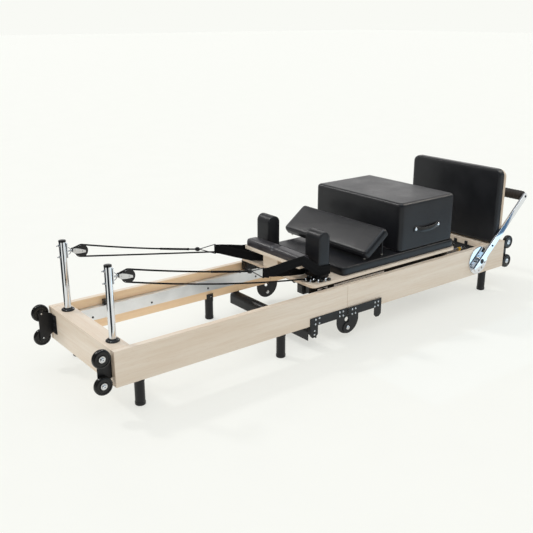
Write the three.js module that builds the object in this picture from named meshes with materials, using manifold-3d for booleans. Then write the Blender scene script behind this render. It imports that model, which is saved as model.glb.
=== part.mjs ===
// A folding pilates reformer: a maple bed in two hinged halves, a sprung carriage on aluminium tracks,
// rope pulleys on riser posts, a foot bar, a jump board and two loose cushions.
// Millimetres. X runs along the bed from the riser end to the foot end, Y across it, Z up. While it is
// being built, x = 0 is the fold between the two halves, y = 0 the middle of the bed and z = 0 the floor.
import * as THREE from "three";
import { RoundedBoxGeometry } from "three/addons/geometries/RoundedBoxGeometry.js";
import { mergeVertices } from "three/addons/utils/BufferGeometryUtils.js";
import Module from "manifold-3d";

const wasm = await Module();
wasm.setup();

// Driving dimensions.
const GAP = 0.3; // between pieces that touch
const BED_LENGTH = 2600;
const BED_WIDTH = 660;
const RAIL_BOTTOM = 118;
const RAIL_TOP = 280;
const RAIL_THICKNESS = 30;
const END_BEAM = 88; // length of the end beams along X
const LEG_RADIUS = 23.5;
const LEG_X = { riser_end: -1184, middle: -417, foot_end: 1130 };
const PIVOT_Z = 53; // height of the fold's pivot, under the rails
const PLATE = 4; // thickness of the hinge plates
const TRACK = { bottom: 163, top: 236, wall: 4, flange: 28 };
const WHEEL = { radius: 41, width: 24, x: 1350, y: 314.5, low: 139, high: 259, bore: 4.3 };
const POST = { x: -1250, y: 223, radius: 16, top: 615 };
const SHEAVE = { x: -1162, z: 549, groove: 23.6, rim: 28, halfWidth: 6, bore: 4.3 };
const PULLEY_HEAD = { x: -1206, z: 558, half: 8 };
const ROPE_RADIUS = 3.5;
const DECK = { from: -212, to: 872, halfWidth: 303, bottom: 298, top: 314 };
const ROLLER = { radius: 21, axle: 4.5, front: -120, rear: 780 };
const SHOULDER = { from: -133, to: -58, inner: 146, outer: 253, top: 555 };
const HEADREST = {
  from: -235,
  to: -145,
  halfWidth: 224,
  bottom: 385,
  board: 19,
  top: 445,
  padTo: -158, // set back from the board's edge, so that it clears the shoulder rests as it tilts
  block: { front: -205, recess: -165, back: -145, step: -17, half: 104 },
};
const PAD_TOP = 359;
const BOX = { from: 416, to: 858, near: -284, far: 390, top: 625 };
const INCLINE = { x: 150, z: 402, near: -290, far: 378, length: 196, thickness: 46, angle: 37 };
const JUMP_BOARD = {
  x: 1208.5,
  thickness: 18,
  pad: 43,
  from: -348,
  to: 308,
  top: 719,
  padTop: 726,
  peg: { x: 1220.5, y: 200, radius: 4.5, depth: 45 },
};
const SPRING_BAR = { from: 1155, to: 1185, bottom: 190, top: 278 };
const SPRINGS = { anchor: 470, hook: 1105, z: 225, coil: 11.5, rows: [-160, -80, 0, 80, 160] };
const FOOT_BAR = { x: 1050, z: 205, length: 498, angle: 42.3, tail: 72, armWidth: 38, inner: 349.5, outer: 361.5 };
const SLEEVE = { radius: 29, halfWidth: 344 };
const BAR_RADIUS = 16;

const HALF = BED_LENGTH / 2;
const SIDE = BED_WIDTH / 2;
const INNER = SIDE - RAIL_THICKNESS;
const SIDES = [
  ["near", -1],
  ["far", 1],
];

// Materials.
const finish = (color, roughness, metalness) => new THREE.MeshStandardMaterial({ color, roughness, metalness });
const MAPLE = finish(0xe0cfb6, 0.55, 0);
const LEATHER = finish(0x1b1c1f, 0.5, 0);
const BLACK_STEEL = finish(0x1a1a1b, 0.45, 0.6);
const CHROME = finish(0xdadde0, 0.08, 1);
const ALUMINIUM = finish(0xc2c5c8, 0.35, 1);
const BLACK_PLASTIC = finish(0x151516, 0.4, 0);
const BLACK_WEBBING = finish(0x101011, 0.85, 0);
const FOAM = finish(0x1d1d1e, 0.8, 0);
const SPRING_STEEL = finish(0x8f9296, 0.3, 1);

// Solid modelling helpers.
function toSolid(geometry) {
  const bare = geometry.clone();
  bare.deleteAttribute("normal");
  bare.deleteAttribute("uv");
  const merged = mergeVertices(bare, 1e-3);
  return new wasm.Manifold(
    new wasm.Mesh({
      numProp: 3,
      vertProperties: merged.attributes.position.array,
      triVerts: new Uint32Array(merged.index.array),
    }),
  );
}

function toGeometry(solid) {
  const { numProp, vertProperties, triVerts } = solid.getMesh();
  const positions = new Float32Array((vertProperties.length / numProp) * 3);
  for (let i = 0; i < positions.length / 3; i++) {
    for (let k = 0; k < 3; k++) positions[3 * i + k] = vertProperties[numProp * i + k];
  }
  const geometry = new THREE.BufferGeometry();
  geometry.setAttribute("position", new THREE.BufferAttribute(positions, 3));
  geometry.setIndex(new THREE.BufferAttribute(new Uint32Array(triVerts), 1));
  return geometry;
}

const join = (first, ...rest) => toGeometry(rest.reduce((sum, each) => sum.add(toSolid(each)), toSolid(first)));
const cut = (first, ...rest) => toGeometry(rest.reduce((left, each) => left.subtract(toSolid(each)), toSolid(first)));

// A box between two values on each axis, in either order.
function box([x0, x1], [y0, y1], [z0, z1]) {
  const size = [x1 - x0, y1 - y0, z1 - z0].map(Math.abs);
  return new THREE.BoxGeometry(...size).translate((x0 + x1) / 2, (y0 + y1) / 2, (z0 + z1) / 2);
}

function cushion([x0, x1], [y0, y1], [z0, z1], radius) {
  const size = [x1 - x0, y1 - y0, z1 - z0].map(Math.abs);
  return new RoundedBoxGeometry(...size, 2, radius).translate((x0 + x1) / 2, (y0 + y1) / 2, (z0 + z1) / 2);
}

// A cylinder along Y, between two y values.
function crossRod(radius, x, z, y0, y1, segments = 14) {
  return new THREE.CylinderGeometry(radius, radius, Math.abs(y1 - y0), segments).translate(x, (y0 + y1) / 2, z);
}

function upright(radius, x, y, z0, z1, segments = 16) {
  return new THREE.CylinderGeometry(radius, radius, z1 - z0, segments)
    .rotateX(Math.PI / 2)
    .translate(x, y, (z0 + z1) / 2);
}

function lengthRod(radius, x0, x1, y, z, segments = 12) {
  return new THREE.CylinderGeometry(radius, radius, x1 - x0, segments)
    .rotateZ(Math.PI / 2)
    .translate((x0 + x1) / 2, y, z);
}

// An outline in the XZ plane, extruded along Y between two y values.
function profileXZ(shape, y0, y1, curveSegments = 12) {
  return new THREE.ExtrudeGeometry(shape, { depth: Math.abs(y1 - y0), bevelEnabled: false, curveSegments })
    .rotateX(Math.PI / 2)
    .translate(0, Math.max(y0, y1), 0);
}

// An outline in the XY plane, extruded upwards between two z values.
function profileXY(shape, z0, z1, curveSegments = 12) {
  return new THREE.ExtrudeGeometry(shape, { depth: z1 - z0, bevelEnabled: false, curveSegments }).translate(0, 0, z0);
}

function roundedRectangle(x0, x1, y0, y1, radius) {
  const shape = new THREE.Shape();
  shape.absarc(x0 + radius, y0 + radius, radius, Math.PI, 1.5 * Math.PI);
  shape.absarc(x1 - radius, y0 + radius, radius, 1.5 * Math.PI, 2 * Math.PI);
  shape.absarc(x1 - radius, y1 - radius, radius, 0, 0.5 * Math.PI);
  shape.absarc(x0 + radius, y1 - radius, radius, 0.5 * Math.PI, Math.PI);
  return shape;
}

const disc = (x, z, radius) => new THREE.Shape().absarc(x, z, radius, 0, 2 * Math.PI);

const reformer = new THREE.Group();
function add(name, geometry, material) {
  const mesh = new THREE.Mesh(geometry, material);
  mesh.name = name;
  reformer.add(mesh);
}

// Bed: four rails, two end beams and four aluminium tracks.
function rails(side, s) {
  const across = [s * INNER, s * SIDE];
  add(`${side}_rail_riser_half`, box([-HALF, -GAP], across, [RAIL_BOTTOM, RAIL_TOP]), MAPLE);
  add(`${side}_rail_foot_half`, box([GAP, HALF], across, [RAIL_BOTTOM, RAIL_TOP]), MAPLE);
}

function endBeams() {
  const across = [GAP - INNER, INNER - GAP];
  add("riser_end_beam", box([-HALF, END_BEAM - HALF], across, [RAIL_BOTTOM, RAIL_TOP]), MAPLE);
  const beam = box([HALF - END_BEAM, HALF], across, [RAIL_BOTTOM, RAIL_TOP]);
  const sockets = jumpBoardPegs(JUMP_BOARD.peg.radius + 0.5, JUMP_BOARD.peg.depth + 2);
  add("foot_end_beam", cut(beam, ...sockets), MAPLE);
}

function track(x0, x1, s) {
  const web = box([x0, x1], [s * (INNER - GAP), s * (INNER - GAP - TRACK.wall)], [TRACK.bottom, TRACK.top]);
  const shelf = [s * (INNER - GAP), s * (INNER - GAP - TRACK.flange)];
  return [web, box([x0, x1], shelf, [TRACK.top - TRACK.wall, TRACK.top])];
}

function tracks(side, s) {
  const start = END_BEAM - HALF + GAP;
  const stop = box([-1045, -1012], [s * (INNER - GAP), s * (INNER - 26)], [TRACK.top - 1, TRACK.top + 27]);
  add(`${side}_track_riser_half`, join(...track(start, -GAP, s), stop), ALUMINIUM);
  add(`${side}_track_foot_half`, join(...track(GAP, SPRING_BAR.from - 5, s)), ALUMINIUM);
}

// A leg stands under the rail, notched so that its top stays beside the rail's inner face.
function leg(x, s) {
  const lug = 26;
  const foot = 3; // chamfer on the floor edge
  const profile = [
    [0, 0],
    [LEG_RADIUS - foot, 0],
    [LEG_RADIUS, foot],
    [LEG_RADIUS, RAIL_BOTTOM + lug],
    [0, RAIL_BOTTOM + lug],
  ].map(([r, z]) => new THREE.Vector2(r, z));
  const y = s * (SIDE - 20);
  const post = new THREE.LatheGeometry(profile, 20).rotateX(Math.PI / 2).translate(x, y, 0);
  const notch = box([x - 40, x + 40], [s * (INNER - GAP), s * (SIDE + 40)], [RAIL_BOTTOM - GAP, RAIL_TOP]);
  return cut(post, notch);
}

// Fold: a plate on each rail end, a lobe under the joint, a lock hole and a pivot pin.
const LOBE = { radius: 73, z: 95, hole: 12, holeX: -7, holeZ: 100, eye: 34 };
const STRIP = { riser: -250, foot: 240, top: 160, bottom: 115, tab: 50 };
const RISER_PLATE_Y = SIDE + GAP;
const FOOT_PLATE_Y = RISER_PLATE_Y + PLATE + GAP;

// A strip from the fold to its tip, with a tab that hangs down at the tip.
function hingePlate(tip, tabBottom, y0, s) {
  const end = Math.sign(tip);
  const tab = new THREE.Shape();
  tab.moveTo(end * 0.5, STRIP.bottom);
  tab.lineTo(end * 0.5, STRIP.top);
  tab.lineTo(tip, STRIP.top);
  tab.lineTo(tip, tabBottom + 14);
  tab.lineTo(tip - end * 14, tabBottom);
  tab.lineTo(tip - end * (STRIP.tab - 14), tabBottom);
  tab.lineTo(tip - end * STRIP.tab, tabBottom + 14);
  tab.lineTo(tip - end * STRIP.tab, STRIP.bottom);
  return profileXZ(tab, s * y0, s * (y0 + PLATE));
}

function lobe(y0, s) {
  const shape = new THREE.Shape();
  shape.absarc(0, LOBE.z, LOBE.radius, Math.PI, 2 * Math.PI);
  shape.lineTo(LOBE.radius, RAIL_BOTTOM - GAP);
  shape.lineTo(-LOBE.radius, RAIL_BOTTOM - GAP);
  return profileXZ(shape, s * y0, s * (y0 + PLATE), 24);
}

const lockHole = (s) => crossRod(LOBE.hole, LOBE.holeX, LOBE.holeZ, s * (SIDE - 10), s * (SIDE + 30));

function foldHinge(side, s) {
  const pinRadius = 7;
  const pin = crossRod(pinRadius, 0, PIVOT_Z, s * (SIDE - 7), s * (FOOT_PLATE_Y + PLATE + 4));
  const washer = PLATE + GAP;
  const head = crossRod(11, 0, PIVOT_Z, s * (FOOT_PLATE_Y + washer), s * (FOOT_PLATE_Y + washer + 5));
  const nut = crossRod(11, 0, PIVOT_Z, s * (SIDE - 7), s * (SIDE + 1), 6);
  const riserPlate = toSolid(hingePlate(STRIP.riser, 55, RISER_PLATE_Y, s))
    .add(toSolid(lobe(RISER_PLATE_Y, s)))
    .subtract(toSolid(lockHole(s)));
  add(`${side}_hinge_plate_riser_half`, join(toGeometry(riserPlate), pin, head, nut), BLACK_STEEL);

  const eye = crossRod(LOBE.eye, 0, PIVOT_Z, s * FOOT_PLATE_Y, s * (FOOT_PLATE_Y + PLATE), 32);
  const halfLobe = toSolid(lobe(FOOT_PLATE_Y, s)).subtract(toSolid(box([-100, 0], [-400, 400], [0, 200])));
  const spacerY = [s * RISER_PLATE_Y, s * (FOOT_PLATE_Y + 1)];
  const spacer = box([105, STRIP.foot], spacerY, [RAIL_BOTTOM + 2, STRIP.top - 2]);
  const bore = crossRod(pinRadius + 0.4, 0, PIVOT_Z, s * SIDE, s * (SIDE + 30));
  const plate = toSolid(join(hingePlate(STRIP.foot, 60, FOOT_PLATE_Y, s), toGeometry(halfLobe), eye, spacer));
  const drilled = plate.subtract(toSolid(lockHole(s))).subtract(toSolid(bore));
  add(`${side}_hinge_plate_foot_half`, toGeometry(drilled), BLACK_STEEL);
}

// The lift bar is a folded steel channel between the riser half's two hinge tabs.
function liftBar() {
  const wall = 3;
  const left = -262;
  const right = -205;
  const bottom = 47;
  const top = 113;
  const round = 20;
  const shape = new THREE.Shape();
  shape.moveTo(left, bottom);
  shape.lineTo(left + wall, bottom);
  shape.absarc(left + round, top - round, round - wall, Math.PI, 0.5 * Math.PI, true);
  shape.absarc(right - round, top - round, round - wall, 0.5 * Math.PI, 0, true);
  shape.lineTo(right - wall, bottom);
  shape.lineTo(right, bottom);
  shape.absarc(right - round, top - round, round, 0, 0.5 * Math.PI);
  shape.absarc(left + round, top - round, round, 0.5 * Math.PI, Math.PI);
  add("lift_bar", profileXZ(shape, -SIDE, SIDE, 5), BLACK_STEEL);
}

// Transport wheels: two on each corner, on a bent plate bolted to the end of the bed.
function wheel(x, z, s) {
  const { radius, width, bore } = WHEEL;
  const half = width / 2;
  const profile = [
    [bore, -half],
    [radius * 0.62, -half],
    [radius * 0.82, -half * 0.9],
    [radius * 0.96, -half * 0.5],
    [radius, 0],
    [radius * 0.96, half * 0.5],
    [radius * 0.82, half * 0.9],
    [radius * 0.62, half],
    [bore, half],
    [bore, -half],
  ].map(([r, y]) => new THREE.Vector2(r, y));
  return new THREE.LatheGeometry(profile, 18).translate(x, s * WHEEL.y, z);
}

function wheelBracket(end, s) {
  const face = end * (HALF + GAP);
  const flangeY = [s * 297, s * 301];
  const base = box([face, face + end * PLATE], [s * 250, s * 301], [158, 250]);
  const outline = new THREE.Shape();
  outline.absarc(WHEEL.x, WHEEL.low, 15, 1.5 * Math.PI, 2 * Math.PI);
  outline.absarc(WHEEL.x, WHEEL.high, 15, 0, 0.5 * Math.PI);
  outline.lineTo(HALF + GAP, 250);
  outline.lineTo(HALF + GAP, 158);
  const plate = profileXZ(outline, ...flangeY, 5);
  const flange = end > 0 ? plate : plate.rotateZ(Math.PI).translate(0, s * 598, 0);
  const pinFrom = s * 299;
  const headFrom = s * (WHEEL.y + WHEEL.width / 2 + 0.8);
  const pins = [WHEEL.low, WHEEL.high].flatMap((z) => [
    crossRod(WHEEL.bore - 0.3, end * WHEEL.x, z, pinFrom, headFrom),
    crossRod(9, end * WHEEL.x, z, headFrom, headFrom + s * 3),
  ]);
  return join(base, flange, ...pins);
}

function wheels(side, s) {
  for (const [end, sign] of [["riser_end", -1], ["foot_end", 1]]) {
    add(`${side}_wheel_bracket_${end}`, wheelBracket(sign, s), BLACK_STEEL);
    add(`${side}_lower_wheel_${end}`, wheel(sign * WHEEL.x, WHEEL.low, s), BLACK_PLASTIC);
    add(`${side}_upper_wheel_${end}`, wheel(sign * WHEEL.x, WHEEL.high, s), BLACK_PLASTIC);
  }
}

// Riser post: a chromed tube in a floor flange, with a capped top and an eye bolt for the pulley block.
function riserPost(side, s) {
  const { x, radius, top } = POST;
  const y = s * POST.y;
  const profile = [
    [0, RAIL_TOP + GAP],
    [30, RAIL_TOP + GAP],
    [30, RAIL_TOP + 5],
    [radius + 3, RAIL_TOP + 13],
    [radius, RAIL_TOP + 13],
    [radius, top - 6],
    [radius + 1.5, top - 6],
    [radius + 1.5, top],
    [0, top + 3],
  ].map(([r, z]) => new THREE.Vector2(r, z));
  const tube = new THREE.LatheGeometry(profile, 20).rotateX(Math.PI / 2).translate(x, y, 0);
  const saddle = box([x + radius - 2, x + radius + 4], [y - 12, y + 12], [528, 600]);
  const eye = lengthRod(4, x + radius, PULLEY_HEAD.x - 2 * GAP, y, PULLEY_HEAD.z);
  const bolts = [537, 590].map((z) => lengthRod(3, x - radius - 12, x + radius, y, z, 8));
  add(`${side}_riser_post`, join(tube, saddle, eye, ...bolts), CHROME);
}

// Pulley block: two cheeks around a grooved sheave.
function pulleyBlock(side, s) {
  const { x, z, rim } = SHEAVE;
  const y = s * POST.y;
  const shape = new THREE.Shape();
  shape.moveTo(PULLEY_HEAD.x, PULLEY_HEAD.z - PULLEY_HEAD.half);
  shape.absarc(x, z, rim + 1, -0.6 * Math.PI, 0.5 * Math.PI);
  shape.lineTo(PULLEY_HEAD.x, PULLEY_HEAD.z + PULLEY_HEAD.half);
  const body = profileXZ(shape, y - 12, y + 12, 16);
  const slotHalf = SHEAVE.halfWidth + 0.5;
  const slot = box([x - rim - 5, x + 60], [y - slotHalf, y + slotHalf], [z - 60, z + 60]);
  const pin = crossRod(SHEAVE.bore - 0.3, x, z, y - 12, y + 12, 12);
  add(`${side}_pulley_block`, join(cut(body, slot), pin), BLACK_PLASTIC);

  const profile = [
    [SHEAVE.bore, -SHEAVE.halfWidth],
    [rim, -SHEAVE.halfWidth],
    [rim, -3.9],
    [SHEAVE.groove, -2.4],
    [SHEAVE.groove, 2.4],
    [rim, 3.9],
    [rim, SHEAVE.halfWidth],
    [SHEAVE.bore, SHEAVE.halfWidth],
    [SHEAVE.bore, -SHEAVE.halfWidth],
  ].map(([r, h]) => new THREE.Vector2(r, h));
  add(`${side}_sheave`, new THREE.LatheGeometry(profile, 20).translate(x, y, z), ALUMINIUM);
}

// Rope: from the cleat on the deck, round the sheave and back to the strap that loops a shoulder rest.
const STOPPER = { x: -535, z: 437 };
const CLEAT = { near: { x: -190, z: 325, sag: 17 }, far: { x: -190, z: 365, sag: 1 } };
const RING = { near: { x: -452, z: 412 }, far: { x: -425, z: 418 } };
const STRAP = { width: 48, thickness: 4, clear: 5, low: DECK.top + 1, dip: 334, belly: 6 };
// How far the strap's outer strand lies above its inner one.
const STRAP_RAISE = { near: { dip: 80, rest: 22 }, far: { dip: 15, rest: 22 } };

function tube(points, steps, radius = ROPE_RADIUS) {
  const path = new THREE.CatmullRomCurve3(points.map((p) => new THREE.Vector3(...p)), false, "centripetal");
  const section = new THREE.Shape().absarc(0, 0, radius, 0, 2 * Math.PI);
  return new THREE.ExtrudeGeometry(section, { steps, bevelEnabled: false, extrudePath: path, curveSegments: 4 });
}

// The point on the sheave where a straight run to the target leaves it, as an angle in the XZ plane.
function leaving(target, radius, upper) {
  const [dx, dz] = [target.x - SHEAVE.x, target.z - SHEAVE.z];
  const offset = Math.acos(radius / Math.hypot(dx, dz));
  return Math.atan2(dz, dx) + (upper ? offset : -offset);
}

function rope(side, s) {
  const y = s * POST.y;
  const turn = SHEAVE.groove + 0.4 + ROPE_RADIUS;
  const first = leaving(CLEAT[side], turn, false);
  const last = leaving(STOPPER, turn, true) - 2 * Math.PI;
  const onSheave = (angle) => [SHEAVE.x + turn * Math.cos(angle), y, SHEAVE.z + turn * Math.sin(angle)];
  const wrap = [];
  for (let i = 0; i <= 16; i++) wrap.push(onSheave(THREE.MathUtils.lerp(first, last, i / 16)));
  const mix = THREE.MathUtils.lerp;
  const between = (a, b, t, sag) => [mix(a[0], b[0], t), y, mix(a[2], b[2], t) - sag];
  const cleat = [CLEAT[side].x, y, CLEAT[side].z];
  const ring = [RING[side].x + 7, y, RING[side].z];
  const stopper = [STOPPER.x, y, STOPPER.z];
  const foot = wrap[0];
  const top = wrap[wrap.length - 1];
  const footRun = between(foot, cleat, 0.02, 0);
  const topRun = between(top, stopper, 0.03, 0);
  return join(
    tube([footRun, ...wrap, topRun], 30),
    tube([between(foot, cleat, 0.01, 0), between(foot, cleat, 0.5, CLEAT[side].sag), cleat], 8),
    tube([between(top, stopper, 0.01, 0), between(top, stopper, 0.5, 6), stopper, ring], 10),
    crossRod(7, stopper[0], stopper[2], y - 20, y + 20, 8),
    strap(side, s),
  );
}

// A webbing loop that falls from the ring, passes under the headrest's edge and rounds the shoulder rest.
function strap(side, s) {
  const { mapLinear } = THREE.MathUtils;
  const [inner, outer] = [SHOULDER.inner - STRAP.clear, SHOULDER.outer + STRAP.clear];
  const rear = SHOULDER.to + STRAP.clear;
  const start = RING[side].x + 5;
  const dip = HEADREST.from - 5;
  const atDip = (ring, rest) => mapLinear(dip, start, SHOULDER.from, ring, rest);
  const loop = (grow) => {
    const points = [
      [start - grow, POST.y - 8 - grow],
      [dip, atDip(POST.y - 8, inner) - STRAP.belly - grow],
      [SHOULDER.from, inner - grow],
      [rear + grow, inner - grow],
      [rear + grow, outer + grow],
      [SHOULDER.from, outer + grow],
      [dip, atDip(POST.y + 8, outer) + STRAP.belly + grow],
      [start - grow, POST.y + 8 + grow],
    ];
    const outline = points.map(([x, y]) => new THREE.Vector2(x, s * y));
    return s > 0 ? outline : outline.reverse();
  };
  const shape = new THREE.Shape(loop(STRAP.thickness));
  shape.holes.push(new THREE.Path(loop(0)));
  const band = profileXY(shape, 0, STRAP.width);
  const positions = band.getAttribute("position");
  for (let i = 0; i < positions.count; i++) {
    const x = positions.getX(i);
    const ringBase = RING[side].z - STRAP.width / 2;
    const sloping = mapLinear(x, start, dip, ringBase, STRAP.dip);
    const level = mapLinear(Math.min(x, SHOULDER.from), dip, SHOULDER.from, STRAP.dip, STRAP.low);
    const outward = Math.abs(positions.getY(i)) > POST.y && x >= dip;
    const raised = x > dip ? STRAP_RAISE[side].rest : STRAP_RAISE[side].dip;
    positions.setZ(i, positions.getZ(i) + (x < dip ? sloping : level) + (outward ? raised : 0));
  }
  return band;
}

// Carriage: deck, pad, steel undercarriage, two wheel sets, shoulder rests and headrest.
function carriage() {
  const { from, to, halfWidth, bottom, top } = DECK;
  const outline = roundedRectangle(from, to, -halfWidth, halfWidth, 30);
  const { block } = HEADREST;
  const height = [top - 1, HEADREST.bottom - GAP];
  const front = box([block.front, block.back], [block.step, block.half], height);
  const recessed = box([block.recess, block.back], [-block.half, block.step + 1], height);
  add("carriage_deck", join(profileXY(outline, bottom, top, 6), front, recessed), MAPLE);
  const pad = cushion([0, to - 10], [13 - halfWidth, halfWidth - 13], [top + GAP, PAD_TOP], 14);
  add("carriage_pad", pad, LEATHER);
}

function undercarriage() {
  const z = [263, DECK.bottom - GAP];
  const [inner, outer] = [243, 268];
  const ends = [DECK.from + 7, DECK.to - 32];
  const beams = [-1, 1].map((s) => box(ends, [s * inner, s * outer], z));
  const crosses = [30, 330, 600, ends[1] - 25].map((x) => box([x, x + 25], [-outer, outer], z));
  const front = box([-150, -135], [-outer, outer], z);
  const bumpers = [[-223, -175], [254, 298]].map((across) => box([ends[0], -145], across, [245, z[1]]));
  const springPlate = box([SPRINGS.anchor - 8, SPRINGS.anchor - GAP], [-190, 190], [SPRINGS.z - 16, z[1]]);
  const springCross = box([SPRINGS.anchor - 8, SPRINGS.anchor + 17], [-outer, outer], z);
  const hangers = [];
  for (const x of [ROLLER.front, ROLLER.rear]) {
    for (const s of [-1, 1]) {
      const lug = box([x - 12, x + 12], [s * 250, s * 262], [244, 265]);
      hangers.push(cut(lug, crossRod(ROLLER.axle + GAP, x, axleHeight(), s * 240, s * 270)));
    }
  }
  const frame = join(front, ...bumpers, springPlate, springCross, ...beams, ...crosses, ...hangers);
  add("undercarriage", frame, BLACK_STEEL);
}

const axleHeight = () => TRACK.top + GAP + ROLLER.radius;

function wheelSet(x) {
  const axle = crossRod(ROLLER.axle, x, axleHeight(), -286, 286, 12);
  const rollers = [-1, 1].map((s) => crossRod(ROLLER.radius, x, axleHeight(), s * 277, s * 292, 28));
  return join(axle, ...rollers);
}

function shoulderRest(side, s) {
  const { from, to, inner, outer, top } = SHOULDER;
  const radius = (to - from) / 2;
  const shape = new THREE.Shape();
  shape.moveTo(from, DECK.top + GAP);
  shape.lineTo(to, DECK.top + GAP);
  shape.absarc(to - radius, top - radius, radius, 0, Math.PI);
  add(`${side}_shoulder_rest`, profileXZ(shape, s * inner, s * outer, 12), LEATHER);
}

function headrest() {
  const { from, to, halfWidth, bottom, board, top } = HEADREST;
  add("headrest_board", box([from, to], [-halfWidth, halfWidth], [bottom, bottom + board]), MAPLE);
  const across = [2 - halfWidth, halfWidth - 2];
  const pad = cushion([from + 2, HEADREST.padTo], across, [bottom + board + GAP, top], 20);
  add("headrest_pad", pad, LEATHER);
}

// Springs: hooked on the slotted bar at the foot end and anchored under the carriage.
function springs() {
  const { anchor, z, rows, coil, hook } = SPRINGS;
  const bar = box([anchor, anchor + 14], [-190, 190], [z - 14, z + 14]);
  const coils = rows.map((y) => lengthRod(coil, anchor + 10, hook, y, z, 14));
  const hooks = rows.map((y) => lengthRod(3, hook - 5, SPRING_BAR.from - GAP, y, z, 8));
  add("springs", join(bar, ...coils, ...hooks), SPRING_STEEL);
  const { from, to, bottom, top } = SPRING_BAR;
  add("spring_bar", box([from, to], [GAP - INNER, INNER - GAP], [bottom, top]), MAPLE);
}

// Foot bar: two flat arms outside the rails, a cross tube in a foam sleeve and a notched quadrant each side.
const along = (distance) => {
  const angle = THREE.MathUtils.degToRad(FOOT_BAR.angle);
  return [FOOT_BAR.x + distance * Math.cos(angle), FOOT_BAR.z + distance * Math.sin(angle)];
};

function footBarArm(s) {
  const half = FOOT_BAR.armWidth / 2;
  const shape = new THREE.Shape();
  shape.absarc(0, 0, half, -0.5 * Math.PI, 0.5 * Math.PI);
  shape.lineTo(-FOOT_BAR.length - FOOT_BAR.tail, half);
  shape.lineTo(-FOOT_BAR.length - FOOT_BAR.tail, -half);
  const [x, z] = along(FOOT_BAR.length);
  const arm = new THREE.ExtrudeGeometry(shape, {
    depth: FOOT_BAR.outer - FOOT_BAR.inner,
    bevelEnabled: false,
    curveSegments: 10,
  })
    .rotateX(Math.PI / 2)
    .rotateY(-THREE.MathUtils.degToRad(FOOT_BAR.angle));
  return arm.translate(x, s > 0 ? FOOT_BAR.outer : -FOOT_BAR.inner, z);
}

function footBar() {
  const [x, z] = along(FOOT_BAR.length);
  const bar = crossRod(BAR_RADIUS, x, z, -FOOT_BAR.inner - 2, FOOT_BAR.inner + 2, 20);
  const arms = [-1, 1].map(footBarArm);
  const hubs = [-1, 1].map((s) =>
    crossRod(18, FOOT_BAR.x, FOOT_BAR.z, s * (QUADRANT.outer + GAP), s * (FOOT_BAR.outer + 4)),
  );
  add("foot_bar_frame", join(bar, ...arms, ...hubs), CHROME);
  const foam = crossRod(SLEEVE.radius, x, z, -SLEEVE.halfWidth, SLEEVE.halfWidth, 24);
  const core = crossRod(BAR_RADIUS + GAP, x, z, -FOOT_BAR.inner, FOOT_BAR.inner, 24);
  add("foot_bar_sleeve", cut(foam, core), FOAM);
}

const QUADRANT = { radius: 82, inner: SIDE + GAP, outer: SIDE + GAP + 6 };

function quadrant(side, s) {
  const shape = disc(FOOT_BAR.x, FOOT_BAR.z, QUADRANT.radius);
  for (const degrees of [-100, -80, -55, -20]) {
    const angle = THREE.MathUtils.degToRad(degrees);
    const notch = new THREE.Path();
    const corner = (r, t) => {
      const x = FOOT_BAR.x + r * Math.cos(angle) - t * Math.sin(angle);
      const z = FOOT_BAR.z + r * Math.sin(angle) + t * Math.cos(angle);
      return [x, z];
    };
    notch.moveTo(...corner(54, -5));
    notch.lineTo(...corner(54, 5));
    notch.lineTo(...corner(71, 5));
    notch.lineTo(...corner(71, -5));
    shape.holes.push(notch);
  }
  add(`${side}_quadrant`, profileXZ(shape, s * QUADRANT.inner, s * QUADRANT.outer, 40), CHROME);
}

// Jump board: a padded panel that stands on the foot end, on two pegs in the beam.
function jumpBoardPegs(radius, depth) {
  const { peg } = JUMP_BOARD;
  return [-peg.y, peg.y].map((y) => upright(radius, peg.x, y, RAIL_TOP - depth, RAIL_TOP + 10, 16));
}

function jumpBoard() {
  const { x, thickness, pad, from, to, top, padTop, peg } = JUMP_BOARD;
  const outline = roundedRectangle(from, to, RAIL_TOP + GAP, top, 40);
  const panel = new THREE.ExtrudeGeometry(outline, { depth: thickness, bevelEnabled: false, curveSegments: 8 })
    .rotateX(Math.PI / 2)
    .rotateZ(Math.PI / 2)
    .translate(x, 0, 0);
  add("jump_board_panel", join(panel, ...jumpBoardPegs(peg.radius, peg.depth)), MAPLE);
  const soft = cushion([x - pad, x - GAP], [from + 2, to - 2], [RAIL_TOP + 5, padTop], 18);
  add("jump_board_pad", soft, LEATHER);
}

// Loose cushions: a sitting box and an incline pad in front of it.
function looseCushions() {
  const { from, to, near, far, top } = BOX;
  add("sitting_box", cushion([from, to], [near, far], [PAD_TOP + GAP, top], 20), LEATHER);
  add("incline_pad", inclinePad(), LEATHER);
}

// The incline pad stands on four feet: two short ones at its lower edge and two props at its upper edge.
function inclinePad() {
  const { x, z, near, far, length, thickness, angle } = INCLINE;
  const tilt = THREE.MathUtils.degToRad(angle);
  const pad = cushion([0, length], [near, far], [-thickness, 0], 14);
  const under = (distance) => [
    x + distance * Math.cos(tilt) + thickness * Math.sin(tilt),
    z + distance * Math.sin(tilt) - thickness * Math.cos(tilt),
  ];
  const feet = [16, length - 20].flatMap((distance) => {
    const [footX, footZ] = under(distance);
    return [near + 40, far - 40].map((y) => upright(6, footX, y, PAD_TOP + GAP, footZ + 8, 12));
  });
  return join(pad.rotateY(-tilt).translate(x, 0, z), ...feet);
}

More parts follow.
